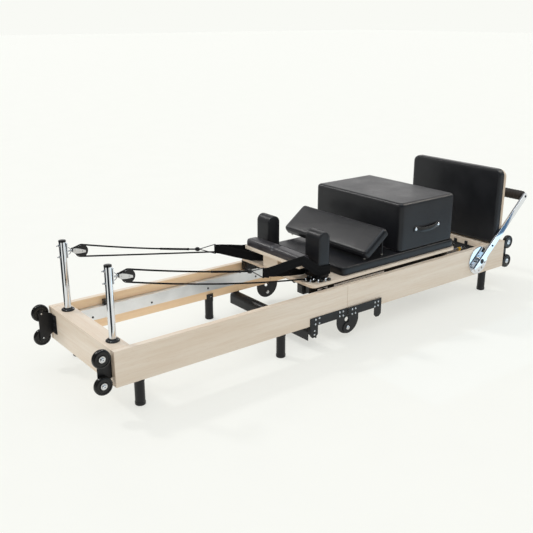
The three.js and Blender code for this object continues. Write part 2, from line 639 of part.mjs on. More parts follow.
for (const [side, s] of SIDES) {
  rails(side, s);
  tracks(side, s);
  foldHinge(side, s);
  for (const [place, x] of Object.entries(LEG_X)) add(`${side}_leg_${place}`, leg(x, s), BLACK_STEEL);
  wheels(side, s);
  riserPost(side, s);
  pulleyBlock(side, s);
  add(`${side}_rope`, rope(side, s), BLACK_WEBBING);
  shoulderRest(side, s);
  quadrant(side, s);
}
endBeams();
liftBar();
carriage();
undercarriage();
add("front_wheel_set", wheelSet(ROLLER.front), BLACK_PLASTIC);
add("rear_wheel_set", wheelSet(ROLLER.rear), BLACK_PLASTIC);
headrest();
springs();
footBar();
jumpBoard();
looseCushions();

// The origin of the finished part is on the floor, under the middle of everything.
const bounds = new THREE.Box3().setFromObject(reformer);
const middle = bounds.getCenter(new THREE.Vector3());
reformer.position.set(-middle.x, -middle.y, -bounds.min.z);

export default reformer;
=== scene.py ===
"""Looks for the folding pilates reformer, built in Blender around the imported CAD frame.

Shapes are written in millimetres in the same axes as the CAD source: x = 0 at the fold, y = 0 at the
middle of the bed, z = 0 on the floor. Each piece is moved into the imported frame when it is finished.
"""

import math

import bmesh
import bpy
from mathutils import Matrix, Vector, noise


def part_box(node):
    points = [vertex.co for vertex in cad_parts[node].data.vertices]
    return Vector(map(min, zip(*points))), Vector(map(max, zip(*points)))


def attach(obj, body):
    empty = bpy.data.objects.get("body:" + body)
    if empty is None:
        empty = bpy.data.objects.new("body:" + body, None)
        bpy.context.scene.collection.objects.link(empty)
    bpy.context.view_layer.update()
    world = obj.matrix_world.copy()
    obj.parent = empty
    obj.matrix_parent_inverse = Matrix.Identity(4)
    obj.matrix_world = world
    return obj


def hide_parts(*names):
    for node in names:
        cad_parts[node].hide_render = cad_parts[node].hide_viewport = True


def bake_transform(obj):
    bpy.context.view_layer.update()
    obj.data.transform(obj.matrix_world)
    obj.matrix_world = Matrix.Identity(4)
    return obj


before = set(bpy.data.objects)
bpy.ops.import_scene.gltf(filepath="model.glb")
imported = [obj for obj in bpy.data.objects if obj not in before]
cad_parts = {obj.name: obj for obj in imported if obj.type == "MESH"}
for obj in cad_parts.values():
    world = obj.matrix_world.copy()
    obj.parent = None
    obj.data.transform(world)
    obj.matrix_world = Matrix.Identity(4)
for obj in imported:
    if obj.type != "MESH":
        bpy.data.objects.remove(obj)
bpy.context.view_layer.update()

# Dimensions that repeat the CAD, in millimetres.
GAP = 0.3
HALF = 1300
SIDE = 330
INNER = 300
RAIL_BOTTOM, RAIL_TOP = RAIL_Z = 118, 280
END_BEAM = 88
LEG_RADIUS = 23.5
LEG_X = {"riser_end": -1184, "middle": -417, "foot_end": 1130}
PIVOT_Z = 53
PLATE = 4
RISER_PLATE = SIDE + GAP
FOOT_PLATE = RISER_PLATE + PLATE + GAP
WHEEL_R, WHEEL_X, WHEEL_Y, WHEEL_Z = 41, 1350, 314.5, {"lower": 139, "upper": 259}
POST_X, POST_Y, POST_R, POST_TOP = -1250, 223, 16, 615
SHEAVE_X, SHEAVE_Z, GROOVE, RIM = -1162, 549, 23.6, 28
BLOCK_X, BLOCK_Z = -1206, 558
ROPE_R = 3.5
STOPPER = (-535, 437)
CLEAT = {"near": (-190, 325), "far": (-190, 365)}
SAG = {"near": 17, "far": 1}
RING = {"near": (-452, 412), "far": (-425, 418)}
DECK_BOTTOM, DECK_TOP = 298, 314
PAD_TOP = 359
TRACK_TOP = 236
AXLE_Z = TRACK_TOP + GAP + 21
SHOULDER = {"x": (-133, -58), "y": (146, 253), "top": 555}
BAR_X, BAR_Z, BAR_LENGTH, BAR_ANGLE, BAR_TAIL = 1050, 205, 498, math.radians(42.3), 72
STRAP_DIP, STRAP_LOW = (-240, 358), 339
STRAP_RAISE = {"near": (80, 22), "far": (15, 22)}  # the outer strand, above the dip and beside the rest
ROLLER_X = {"front": -120, "rear": 780}
SPRING_Y, SPRING_Z = (-160, -80, 0, 80, 160), 225
ANCHOR_X = 470
HEADREST_Z, HEADREST_TOP = 385, 404
BOARD_X, BOARD_TOP = 1208.5, 719
PEG_X, PEG_Y = 1220.5, (-200, 200)
LOBE = (0, 95, 73)  # the round lobe of the hinge plates: x, z and radius
QUADRANT_IN, QUADRANT_OUT = 330.3, 336.3
ARM_IN, ARM_OUT = 349.5, 361.5
SIDES = (("near", -1), ("far", 1))

rail_low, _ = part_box("near_rail_foot_half")
beam_low, beam_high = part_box("foot_end_beam")
ORIGIN = Vector((rail_low.x - GAP / 1000, (beam_low.y + beam_high.y) / 2, 0))
PLACE = Matrix.Translation(ORIGIN) @ Matrix.Scale(0.001, 4)


def packed(x, y, z):
    """A point of the build frame in millimetres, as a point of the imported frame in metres."""
    return PLACE @ Vector((x, y, z))


# ---------------------------------------------------------------- materials


def add_node(tree, kind, inputs=None, **settings):
    """A shader node. An input is either a value or the socket that drives it."""
    made = tree.nodes.new("ShaderNode" + kind)
    for key, value in settings.items():
        setattr(made, key, value)
    for key, value in (inputs or {}).items():
        if isinstance(value, bpy.types.NodeSocket):
            tree.links.new(value, made.inputs[key])
        else:
            made.inputs[key].default_value = value
    return made


def math_node(tree, operation, a, b=0.0):
    return add_node(tree, "Math", {0: a, 1: b}, operation=operation).outputs[0]


def mix_colours(tree, factor, a, b, **settings):
    return add_node(tree, "Mix", {0: factor, 6: a, 7: b}, data_type="RGBA", **settings).outputs[2]


def mix_values(tree, factor, a, b):
    return add_node(tree, "Mix", {0: factor, 2: a, 3: b}, data_type="FLOAT").outputs[0]


def spread(tree, value, low_out, high_out, low_in=0.3, high_in=0.7):
    """Stretches a noise value from its usual range to the range that is wanted."""
    inputs = {0: value, 1: low_in, 2: high_in, 3: low_out, 4: high_out}
    return add_node(tree, "MapRange", inputs).outputs[0]


def object_noise(tree, stretch, scale=1.0, detail=4.0, roughness=0.55):
    """Noise in object coordinates, stretched by its own number of cells per metre on each axis."""
    coordinates = add_node(tree, "TexCoord").outputs["Object"]
    scaled = add_node(tree, "VectorMath", {0: coordinates, 1: stretch}, operation="MULTIPLY").outputs[0]
    inputs = {"Vector": scaled, "Scale": scale, "Detail": detail, "Roughness": roughness}
    return add_node(tree, "TexNoise", inputs).outputs[0]


def new_surface(name, colour, roughness, metallic=0.0, **sockets):
    material = bpy.data.materials.new(name)
    material.use_nodes = True
    shader = material.node_tree.nodes["Principled BSDF"]
    shader.inputs["Base Color"].default_value = (*colour, 1)
    shader.inputs["Roughness"].default_value = roughness
    shader.inputs["Metallic"].default_value = metallic
    for key, value in sockets.items():
        shader.inputs[key.replace("_", " ")].default_value = value
    return material, material.node_tree, shader


def drive(tree, shader, socket, value):
    tree.links.new(value, shader.inputs[socket])


def tint(tree, shader, factor, first, second):
    """Drives the base colour between two colours."""
    drive(tree, shader, "Base Color", mix_colours(tree, factor, (*first, 1), (*second, 1)))


def bump(tree, shader, height, strength, distance):
    inputs = {"Height": height, "Strength": strength, "Distance": distance}
    drive(tree, shader, "Normal", add_node(tree, "Bump", inputs).outputs[0])


def maple(name, axis, inner=0):
    """Clear-lacquered maple with its grain along one axis, and browner end grain.

    The face that looks towards the middle of the bed, on the side that inner gives, gets painted shade: a
    warmer, browner tone for the shade and bounce light there."""
    material, tree, shader = new_surface(name, (0.80, 0.70, 0.58), 0.42)
    along = lambda across, length: tuple(length if i == axis else across for i in range(3))
    figure = object_noise(tree, along(9, 0.9), detail=3)
    grain = object_noise(tree, along(70, 3.0), detail=5, roughness=0.65)
    fleck = object_noise(tree, along(420, 26), detail=2)
    board = mix_colours(tree, spread(tree, figure, 0, 1), (0.74, 0.625, 0.50, 1), (0.85, 0.765, 0.655, 1))
    streaked = mix_colours(tree, spread(tree, grain, 0, 0.42, 0.45, 0.72), board, (0.66, 0.50, 0.36, 1))
    flecked = mix_colours(tree, spread(tree, fleck, 0, 0.3, 0.58, 0.75), streaked, (0.60, 0.44, 0.30, 1))
    normal = add_node(tree, "SeparateXYZ", {0: add_node(tree, "TexCoord").outputs["Normal"]}).outputs
    end_grain = math_node(tree, "POWER", math_node(tree, "ABSOLUTE", normal[axis]), 8)
    dull = math_node(tree, "MULTIPLY", end_grain, 0.55)
    toned = mix_colours(tree, dull, flecked, (0.50, 0.36, 0.24, 1))
    # Painted shade: faces towards the middle of the bed are tinted warmer and browner for the shade and
    # bounce light they get.
    if inner:
        inner_face_shade = math_node(tree, "MAXIMUM", math_node(tree, "MULTIPLY", normal[1], inner), 0.0)
        toned = mix_colours(tree, inner_face_shade, toned, (1.24, 1.04, 0.80, 1), blend_type="MULTIPLY")
    drive(tree, shader, "Base Color", toned)
    drive(tree, shader, "Roughness", spread(tree, grain, 0.36, 0.52))
    bump(tree, shader, grain, 0.12, 0.0006)
    return material


def leather(name, colour, roughness, specular):
    """Grained upholstery vinyl: small cells, a soft sheen and slow changes of gloss."""
    material, tree, shader = new_surface(name, colour, roughness, Specular_IOR_Level=specular)
    coordinates = add_node(tree, "TexCoord").outputs["Object"]
    pebbles = {"Vector": coordinates, "Scale": 620, "Randomness": 1.0}
    cells = add_node(tree, "TexVoronoi", pebbles, feature="DISTANCE_TO_EDGE").outputs[0]
    grain = spread(tree, cells, 0, 1, 0.0, 0.12)
    slow = object_noise(tree, (7, 7, 7), detail=3)
    worn = tuple(min(1.0, c * 1.5 + 0.003) for c in colour)
    tint(tree, shader, spread(tree, slow, 0, 1), colour, worn)
    drive(tree, shader, "Roughness", spread(tree, slow, roughness - 0.05, roughness + 0.06))
    bump(tree, shader, grain, 0.16, 0.0004)
    return material


def metal(name, colour, roughness, stretch, variation=0.05, metallic=1.0, strength=0.05):
    """Metal whose roughness and fine relief follow noise, stretched along the way it was worked."""
    material, tree, shader = new_surface(name, colour, roughness, metallic)
    marks = object_noise(tree, stretch, detail=4)
    cloud = object_noise(tree, (11, 11, 11), detail=3)
    dim = tuple(c * 0.88 for c in colour)
    tint(tree, shader, spread(tree, cloud, 0, 1), dim, colour)
    smoothest = max(0.02, roughness - variation)
    drive(tree, shader, "Roughness", spread(tree, marks, smoothest, roughness + variation))
    bump(tree, shader, marks, strength, 0.0003)
    return material


def moulded(name, colour, roughness, cells=900.0, strength=0.15, lift=1.6, specular=0.5):
    """Painted steel, moulded plastic, rubber or foam: a fine even texture and faint wear."""
    material, tree, shader = new_surface(name, colour, roughness, Specular_IOR_Level=specular)
    texture = object_noise(tree, (cells, cells, cells), detail=2)
    wear = object_noise(tree, (16, 16, 16), detail=5, roughness=0.7)
    light = tuple(min(1.0, c * lift + 0.002) for c in colour)
    tint(tree, shader, spread(tree, wear, 0, 1, 0.4, 0.8), colour, light)
    drive(tree, shader, "Roughness", spread(tree, wear, roughness + 0.06, roughness - 0.06))
    bump(tree, shader, texture, strength, 0.0003)
    return material


def woven(name, colour, across, per_metre, roughness=0.8):
    """Braid or webbing. U runs round or across the strand and V runs along it, in metres."""
    material, tree, shader = new_surface(name, colour, roughness, Specular_IOR_Level=0.12)
    uv = add_node(tree, "SeparateXYZ", {0: add_node(tree, "TexCoord").outputs["UV"]})
    turn = math_node(tree, "MULTIPLY", uv.outputs[0], across * math.tau)
    run = math_node(tree, "MULTIPLY", uv.outputs[1], per_metre * math.tau)
    rising = math_node(tree, "SINE", math_node(tree, "ADD", turn, run))
    falling = math_node(tree, "SINE", math_node(tree, "SUBTRACT", turn, run))
    yarn = math_node(tree, "MAXIMUM", rising, falling)
    light = tuple(c * 2.2 + 0.003 for c in colour)
    tint(tree, shader, spread(tree, yarn, 0, 1, -0.4, 1.0), colour, light)
    bump(tree, shader, yarn, 0.5, 0.0006)
    return material


MAPLE_X = maple("maple_along_x", 0)
# The rail copies carry painted shade on their inner faces.
RAIL_MAPLE = {"near": maple("maple_near_rail", 0, 1), "far": maple("maple_far_rail", 0, -1)}
MAPLE_Y = maple("maple_along_y", 1)
LEATHER = leather("black_upholstery", (0.0075, 0.0080, 0.0100), 0.33, 0.30)
PIPING = leather("black_piping", (0.007, 0.0075, 0.009), 0.33, 0.30)
# Painted sheen: a paler, glossier copy of the black upholstery, so the headrest shows brighter highlights.
HEADREST_SHEEN = leather("headrest_upholstery", (0.024, 0.022, 0.026), 0.34, 0.55)
POWDER = moulded("black_powder_coat", (0.009, 0.009, 0.010), 0.36, 700, 0.12, specular=0.3)
PLASTIC = moulded("black_plastic", (0.006, 0.006, 0.006), 0.22, 1200, 0.06, specular=0.35)
RUBBER = moulded("black_rubber", (0.007, 0.0068, 0.0065), 0.26, 1100, 0.10, specular=0.35)
FOAM = moulded("foam_grip", (0.020, 0.016, 0.014), 0.66, 520, 0.5, specular=0.25)
CHROME = metal("chrome", (0.80, 0.82, 0.85), 0.06, (5, 5, 5), 0.03, strength=0.01)
STEEL = metal("zinc_plated_steel", (0.66, 0.66, 0.66), 0.26, (60, 60, 60), 0.08)
ALUMINIUM = metal("anodised_aluminium", (0.90, 0.91, 0.92), 0.42, (6, 300, 300), 0.07, strength=0.12)
SPRING_STEEL = metal("black_spring_steel", (0.10, 0.10, 0.11), 0.30, (40, 40, 40), 0.07)
DARK_STEEL = metal("black_oxide_steel", (0.055, 0.055, 0.06), 0.3, (60, 60, 60), 0.08, 0.9)
ROPE = woven("braided_rope", (0.0035, 0.0035, 0.004), 4, 85)
WEBBING = woven("woven_webbing", (0.003, 0.003, 0.0034), 12, 240, 0.9)
YELLOW = moulded("yellow_plastic", (0.72, 0.42, 0.03), 0.4, 800, 0.1, 1.1)
# Painted light: near-white strips that stand in for the bright floor seen through the gap under the deck's
# edges.
PAINTED_GAP_LIGHT = moulded("painted_gap_light", (0.97, 0.97, 0.97), 0.35, 800, 0.05, 1.05)
PALE_PLASTIC = moulded("pale_plastic", (0.62, 0.60, 0.55), 0.45, 800, 0.1, 1.1)


# ---------------------------------------------------------------- mesh making


def linked(name, data):
    """A new object in the scene that shows the data."""
    made = bpy.data.objects.new(name, data)
    bpy.context.scene.collection.objects.link(made)
    return made


class Piece:
    """Mesh parts with their materials, gathered in the build frame and then placed as one object.

    Its name is that of a CAD node and of what it is made as. It stands for that node unless extra is set."""

    def __init__(self, node, made_as, extra=False):
        self.node = node
        self.name = f"{node}_{made_as}"
        self.extra = extra
        self.mesh = bmesh.new()
        self.materials = []

    def add(self, material, *parts):
        if material not in self.materials:
            self.materials.append(material)
        index = self.materials.index(material)
        for part in parts:
            for face in part.faces:
                face.material_index = index
            copy = bpy.data.meshes.new("part")
            part.to_mesh(copy)
            part.free()
            self.mesh.from_mesh(copy)
            bpy.data.meshes.remove(copy)
        return self

    def place(self, body, slot, sharp=32.0, weighted=True):
        limit = math.radians(sharp)
        for face in self.mesh.faces:
            face.smooth = True
        for edge in self.mesh.edges:
            edge.smooth = edge.calc_face_angle(0.0) < limit
        self.mesh.transform(PLACE)
        data = bpy.data.meshes.new(self.name)
        self.mesh.to_mesh(data)
        self.mesh.free()
        for material in self.materials:
            data.materials.append(material)
        made = linked(self.name, data)
        if weighted:
            weigh_normals(made)
        if not self.extra:
            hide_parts(self.node)
        if body:
            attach(made, body)
        return made


def weigh_normals(made):
    """Makes large flat faces shade flat beside their rounded edges."""
    modifier = made.modifiers.new("weighted", "WEIGHTED_NORMAL")
    modifier.keep_sharp = True
    evaluated = made.evaluated_get(bpy.context.evaluated_depsgraph_get())
    flat = bpy.data.meshes.new_from_object(evaluated)
    made.modifiers.clear()
    made.data = flat


def block(x, y, z, bevel=1.2, segments=2):
    """A box between two values on each axis, with rounded edges."""
    corners = [sorted(span) for span in (x, y, z)]
    size = Vector([high - low for low, high in corners])
    middle = Vector([(high + low) / 2 for low, high in corners])
    part = bmesh.new()
    bmesh.ops.create_cube(part, size=1.0)
    bmesh.ops.scale(part, vec=size, verts=part.verts[:])
    bmesh.ops.translate(part, vec=middle, verts=part.verts[:])
    offset = min(bevel, 0.45 * min(size))
    bmesh.ops.bevel(part, geom=part.edges[:], offset=offset, segments=segments, profile=0.5, affect="EDGES")
    return part


def bridge(part, first, second):
    """Faces between two rings of vertices. A ring of one vertex is a point."""
    count = max(len(first), len(second))
    if count == 1:
        return
    for i in range(count):
        j = (i + 1) % count
        if len(first) == 1:
            part.faces.new((first[0], second[j], second[i]))
        elif len(second) == 1:
            part.faces.new((first[i], first[j], second[0]))
        else:
            part.faces.new((first[i], first[j], second[j], second[i]))


def close_rings(part, rings, closed):
    for first, second in zip(rings, rings[1:]):
        bridge(part, first, second)
    if closed:
        bridge(part, rings[-1], rings[0])
    else:
        for ring in (rings[0], rings[-1]):
            if len(ring) > 2:
                part.faces.new(ring)
    bmesh.ops.recalc_face_normals(part, faces=part.faces[:])
    return part


def revolve(profile, origin, axis=(0, 0, 1), segments=36, closed=False):
    """Rings of (radius, height) round an axis. A third number of 6 makes that ring a hexagon."""
    part = bmesh.new()
    turn = Vector(axis).to_track_quat("Z", "Y").to_matrix()
    base = Vector(origin)
    rings = []
    for radius, height, *flats in profile:
        if radius == 0:
            rings.append([part.verts.new(base + turn @ Vector((0, 0, height)))])
            continue
        ring = []
        for i in range(segments):
            angle = math.tau * i / segments
            reach = radius
            if flats:
                reach *= math.cos(math.pi / 6) / math.cos(angle % (math.pi / 3) - math.pi / 6)
            point = Vector((reach * math.cos(angle), reach * math.sin(angle), height))
            ring.append(part.verts.new(base + turn @ point))
        rings.append(ring)
    return close_rings(part, rings, closed)


def rod(start, end, radius, segments=20, chamfer=0.6):
    """A round bar between two points, with its ends eased."""
    run = Vector(end) - Vector(start)
    length = run.length
    ease = min(chamfer, radius * 0.4, length * 0.3)
    profile = [(radius - ease, 0), (radius, ease), (radius, length - ease), (radius - ease, length)]
    return revolve(profile, start, run, segments)


def cross_rod(at, y0, y1, radius, segments=20):
    """A round bar along Y, at one (x, z)."""
    x, z = at
    return rod((x, y0, z), (x, y1, z), radius, segments)


def bolt(origin, axis, radius, height):
    """A button-head screw with a hexagon socket."""
    head = [(radius, -0.5), (radius, 0.35 * height), (0.88 * radius, 0.78 * height), (0.62 * radius, height)]
    socket = [(0.46 * radius, height, 6), (0.46 * radius, 0.4 * height, 6), (0, 0.4 * height)]
    return revolve(head + socket, origin, axis, 24)


def bolts(spots, axis, radius, height):
    return [bolt(spot, axis, radius, height) for spot in spots]


def nut(origin, axis, radius, height):
    """A hexagon nut with the end of its screw standing out."""
    flats = [(0.9 * radius, 0), (radius, 0.12 * height, 6), (radius, 0.88 * height, 6)]
    flats.append((0.86 * radius, height))
    screw = [(0.55 * radius, height), (0.55 * radius, 1.5 * height), (0, 1.5 * height)]
    return revolve(flats + screw, origin, axis, 24)


def mirrored(half, *middle):
    """A profile of (radius, height) that carries on, past its middle, as its own mirror image."""
    return [*half, *middle, *[(radius, -height) for radius, height in reversed(half)]]


def on_plane(plane, u, v, w):
    """A point from its two coordinates in a plane and its height off that plane."""
    return {"XZ": (u, w, v), "XY": (u, v, w), "YZ": (w, u, v)}[plane]


def plate(outline, span, plane="XZ", holes=(), bevel=0.6):
    """A flat outline with holes, given thickness along the third axis and eased round its rims."""
    part = bmesh.new()
    sheets = []
    rims = []
    for height in span:
        loops = []
        edges = []
        for loop in (outline, *holes):
            ring = [part.verts.new(on_plane(plane, u, v, height)) for u, v in loop]
            edges += [part.edges.new((a, b)) for a, b in zip(ring, ring[1:] + ring[:1])]
            loops.append(ring)
        bmesh.ops.triangle_fill(part, use_beauty=True, edges=edges)
        sheets.append(loops)
        rims += edges
    for first, second in zip(*sheets):
        bridge(part, first, second)
    bmesh.ops.recalc_face_normals(part, faces=part.faces[:])
    bmesh.ops.bevel(part, geom=rims, offset=bevel, segments=2, profile=0.5, affect="EDGES")
    return part


def arc(x, z, radius, start, end, steps=12):
    """Points on an arc, from one angle to another in degrees."""
    angles = [math.radians(start + (end - start) * i / steps) for i in range(steps + 1)]
    return [(x + radius * math.cos(a), z + radius * math.sin(a)) for a in angles]


def circle(x, z, radius, steps=32):
    return arc(x, z, radius, 0, 360, steps)[:-1]


def rounded(u, v, low, steps=6, high=None):
    """The outline of a rectangle between two values on each axis, with its radii at low and high v."""
    (u0, u1), (v0, v1) = sorted(u), sorted(v)
    high = high or low
    return (
        arc(u0 + low, v0 + low, low, 180, 270, steps)
        + arc(u1 - low, v0 + low, low, 270, 360, steps)
        + arc(u1 - high, v1 - high, high, 0, 90, steps)
        + arc(u0 + high, v1 - high, high, 90, 180, steps)
    )


def sweep(points, section, up=(0, 0, 1), closed=False, widths=None):
    """A section of (across, up) offsets carried along points, with UVs round it and along it in metres.

    widths scales the up offsets at each point."""
    part = bmesh.new()
    uv = part.loops.layers.uv.new("UVMap")
    path = [Vector(p) for p in points]
    count = len(path)
    upward = Vector(up)
    rings = []
    runs = [0.0]
    for i, point in enumerate(path):
        before = path[i - 1] if closed or i else point
        after = path[(i + 1) % count] if closed or i < count - 1 else point
        tangent = (after - before).normalized()
        across = tangent.cross(upward).normalized()
        rise = across.cross(tangent)
        width = widths[i] if widths else 1.0
        rings.append([part.verts.new(point + across * a + rise * b * width) for a, b in section])
        if i:
            runs.append(runs[-1] + (point - path[i - 1]).length / 1000)
    if closed:
        rings.append(rings[0])
        runs.append(runs[-1] + (path[0] - path[-1]).length / 1000)
    sides = len(section)
    for (first, v0), (second, v1) in zip(zip(rings, runs), zip(rings[1:], runs[1:])):
        for i in range(sides):
            j = (i + 1) % sides
            face = part.faces.new((first[i], first[j], second[j], second[i]))
            corners = ((i, v0), (i + 1, v0), (i + 1, v1), (i, v1))
            for loop, (u, v) in zip(face.loops, corners):
                loop[uv].uv = (u / sides, v)
    if not closed:
        part.faces.new(rings[0])
        part.faces.new(rings[-1])
    bmesh.ops.recalc_face_normals(part, faces=part.faces[:])
    return part


def smooth_path(points, steps=8):
    """Catmull-Rom points through the given ones."""
    path = [Vector(p) for p in points]
    path = [path[0] * 2 - path[1], *path, path[-1] * 2 - path[-2]]
    out = []
    for a, b, c, d in zip(path, path[1:], path[2:], path[3:]):
        for i in range(steps):
            t = i / steps
            bend = (2 * a - 5 * b + 4 * c - d) * t**2 + (3 * b - a - 3 * c + d) * t**3
            out.append(0.5 * (2 * b + (c - a) * t + bend))
    out.append(path[-2])
    return out


# ---------------------------------------------------------------- upholstery

WELT = 1.1  # the radius of the cord sewn into a cushion's edge


def grid_lines(half, border, step):
    """Lines across a pad, close together near its edges."""
    edge = [half - border * (1 - math.cos(math.pi / 2 * i / 7)) for i in range(8)]
    inner = half - border
    count = max(2, int(2 * inner / step))
    middle = [inner - 2 * inner * i / count for i in range(1, count)]
    return edge + middle + [-value for value in reversed(edge)]


def pad(size, corners, edges, crown, pull=0.0, wrinkle=0.35, step=14.0, creases=()):
    """A boxed cushion round its own middle.

    corners are the plan radii at low and high v, edges the roundness at the bottom and the top, crown how far
    the top rises between its edges, pull how far the sides draw in between the corners, and creases the sewn
    channels across the top as (v, depth, width)."""
    half = Vector(size) / 2
    border = max(*corners, *edges)
    lines = [grid_lines(reach, room, step) for reach, room in zip(half, (border, border, max(edges)))]
    part = bmesh.new()
    made = {}

    def shaped(p):
        radius = corners[1] if p.y > 0 else corners[0]
        inner = Vector((half.x - radius, half.y - radius))
        kept = Vector((max(-inner.x, min(inner.x, p.x)), max(-inner.y, min(inner.y, p.y))))
        out = Vector((p.x, p.y)) - kept
        reach = max(abs(out.x), abs(out.y))
        out = out * (reach / out.length) if reach > 0 else out
        edge = edges[1] if p.z > 0 else edges[0]
        beyond = reach - (radius - edge)
        above = abs(p.z) - (half.z - edge)
        z = p.z
        if beyond > 0 and above > 0:
            shrink = max(beyond, above) / math.hypot(beyond, above)
            out = out * ((radius - edge + beyond * shrink) / reach)
            z = math.copysign(half.z - edge + above * shrink, p.z)
        x, y = kept.x + out.x, kept.y + out.y
        u, v, w = x / half.x, y / half.y, z / half.z
        if w > 0:
            z += crown * (1 - abs(u) ** 2.6) * (1 - abs(v) ** 2.6) * w
        for where, depth, width in creases:
            z -= depth * math.exp(-(((y - where) / width) ** 2)) * max(0.0, w)
        side = max(0.0, 1 - w * w)
        x -= math.copysign(pull * (1 - v * v) * abs(u) ** 4, u) * side
        y -= math.copysign(pull * (1 - u * u) * abs(v) ** 4, v) * side
        wave = noise.noise(Vector((x, y, z * 2)) / 90) + 0.5 * noise.noise(Vector((x, y, z * 2)) / 34)
        near_edge = max(abs(u), abs(v)) ** 3
        return Vector((x, y, z + wrinkle * wave * near_edge * max(0.0, w)))

    def vertex(point):
        key = tuple(round(c, 4) for c in point)
        if key not in made:
            made[key] = part.verts.new(shaped(Vector(point)))
        return made[key]

    for axis in range(3):
        first, second = [i for i in range(3) if i != axis]
        for level in (half[axis], -half[axis]):
            for a0, a1 in zip(lines[first], lines[first][1:]):
                for b0, b1 in zip(lines[second], lines[second][1:]):
                    face = []
                    for a, b in ((a0, b0), (a1, b0), (a1, b1), (a0, b1)):
                        point = [0.0, 0.0, 0.0]
                        point[axis], point[first], point[second] = level, a, b
                        face.append(vertex(point))
                    part.faces.new(face)
    bmesh.ops.recalc_face_normals(part, faces=part.faces[:])
    return part


def resample(loop, step):
    """Points at even steps round a closed loop."""
    ring = [Vector(p) for p in loop]
    out = []
    for a, b in zip(ring, ring[1:] + ring[:1]):
        count = max(1, int((b - a).length / step))
        out += [a.lerp(b, i / count) for i in range(count)]
    return out


def piping(size, corners, edges, top):
    """The welt sewn round a pad's top or bottom edge."""
    edge = edges[1] if top else edges[0]
    inset = edge * (1 - math.cos(math.radians(45))) - 0.3 * WELT
    level = size[2] / 2 - inset
    x, y = size[0] / 2 - inset, size[1] / 2 - inset
    low, high = [max(1.0, radius - inset) for radius in corners]
    loop = rounded((-x, x), (-y, y), low, 10, high)
    path = resample([(u, v, level if top else -level) for u, v in loop], 12)
    return sweep(path, circle(0, 0, WELT, 8), closed=True)


def upholstered(
    node, size, corners, edges, where, crown, made_as="cover", material=LEATHER, welts=(True, False), **more
):
    """A piped cushion in its own frame, moved to where it belongs. It isn't placed yet.

    welts says, for each welt, whether it runs round the top."""
    piece = Piece(node, made_as)
    body = pad(size, corners, edges, crown, **more)
    body.transform(where)
    piece.add(material, body)
    for top in welts:
        cord = piping(size, corners, edges, top)
        cord.transform(where)
        piece.add(PIPING, cord)
    return piece


def settle(piece, body):
    piece.place(body, "leather", sharp=60, weighted=False)


# ---------------------------------------------------------------- bed


def rails(side, s):
    across = (s * INNER, s * SIDE)
    for half, x in (("riser_half", (-HALF, -GAP)), ("foot_half", (GAP, HALF))):
        node = f"{side}_rail_{half}"
        rail = Piece(node, "maple")
        rail.add(RAIL_MAPLE[side], block(x, across, RAIL_Z, 2.5, 3))
        rail.place(half, "maple")


def end_beams():
    across = (GAP - INNER, INNER - GAP)
    beam = Piece("riser_end_beam", "maple")
    beam.add(MAPLE_Y, block((-HALF, END_BEAM - HALF), across, RAIL_Z, 2.5, 3))
    spots = [(END_BEAM - HALF, y, z) for y in (-262, 262) for z in (158, 240)]
    beam.add(STEEL, *bolts(spots, (1, 0, 0), 6, 3))
    beam.place("riser_half", "maple")

    sockets = [circle(PEG_X, y, 5.0, 20) for y in PEG_Y]
    outline = rounded((HALF - END_BEAM, HALF), across, 2)
    beam = Piece("foot_end_beam", "maple")
    beam.add(MAPLE_Y, plate(outline, RAIL_Z, "XY", sockets, 1.6))
    beam.add(MAPLE_Y, *[rod((PEG_X, y, 119), (PEG_X, y, 232), 5.2) for y in PEG_Y])
    beam.place("foot_half", "maple")


def tracks(side, s):
    """Aluminium angle tracks with their black fixing screws, and the rubber stops on the riser half."""
    spans = {"riser_half": (END_BEAM - HALF + GAP, -GAP), "foot_half": (GAP, 1150)}
    screws = {"riser_half": (-1099, -773, -430, -110), "foot_half": (110, 430, 760, 1080)}
    for half, (x0, x1) in spans.items():
        web = (s * (INNER - GAP), s * (INNER - GAP - 4))
        shelf = (s * (INNER - GAP), s * (INNER - GAP - 28))
        track = Piece(f"{side}_track_{half}", "extrusion")
        track.add(ALUMINIUM, block((x0, x1), web, (163, TRACK_TOP), 0.6, 1))
        track.add(ALUMINIUM, block((x0, x1), shelf, (TRACK_TOP - 4, TRACK_TOP), 0.6, 1))
        inside = s * (INNER - GAP - 4)
        spots = [(x, inside, 180) for x in screws[half]]
        track.add(DARK_STEEL, *bolts(spots, (0, -s, 0), 5.5, 2.6))
        if half == "riser_half":
            stop = block((-1045, -1012), (s * (INNER - GAP), s * (INNER - 26)), (235.6, 263), 4, 3)
            track.add(RUBBER, stop)
        track.place(half, "aluminium")


def legs(side, s):
    """Steel legs with a wider foot. The back of each one carries on up beside the rail's inner face."""
    tube, top = LEG_RADIUS - 1.4, RAIL_BOTTOM - GAP
    profile = [(LEG_RADIUS - 3, 0), (LEG_RADIUS, 3), (LEG_RADIUS, 15), (tube, 16.5), (tube, 110)]
    profile += [(LEG_RADIUS, 111), (LEG_RADIUS, top), (0, top)]
    y = s * (SIDE - 20)
    for place, x in LEG_X.items():
        leg = Piece(f"{side}_leg_{place}", "tube")
        leg.add(POWDER, revolve(profile, (x, y, 0), segments=40))
        reach = SIDE - 20 - INNER + GAP
        cut = math.degrees(math.acos(reach / LEG_RADIUS))
        start = (90 if s < 0 else 270) - cut
        lug = plate(arc(x, y, LEG_RADIUS, start, start + 2 * cut, 16), (100, 144), "XY", bevel=0.8)
        leg.add(POWDER, lug)
        leg.add(STEEL, bolt((x, y - s * (LEG_RADIUS - 0.2), 132), (0, -s, 0), 4, 0.1))
        half = "foot_half" if place == "foot_end" else "riser_half"
        leg.place(half, "black_steel")


# ---------------------------------------------------------------- fold


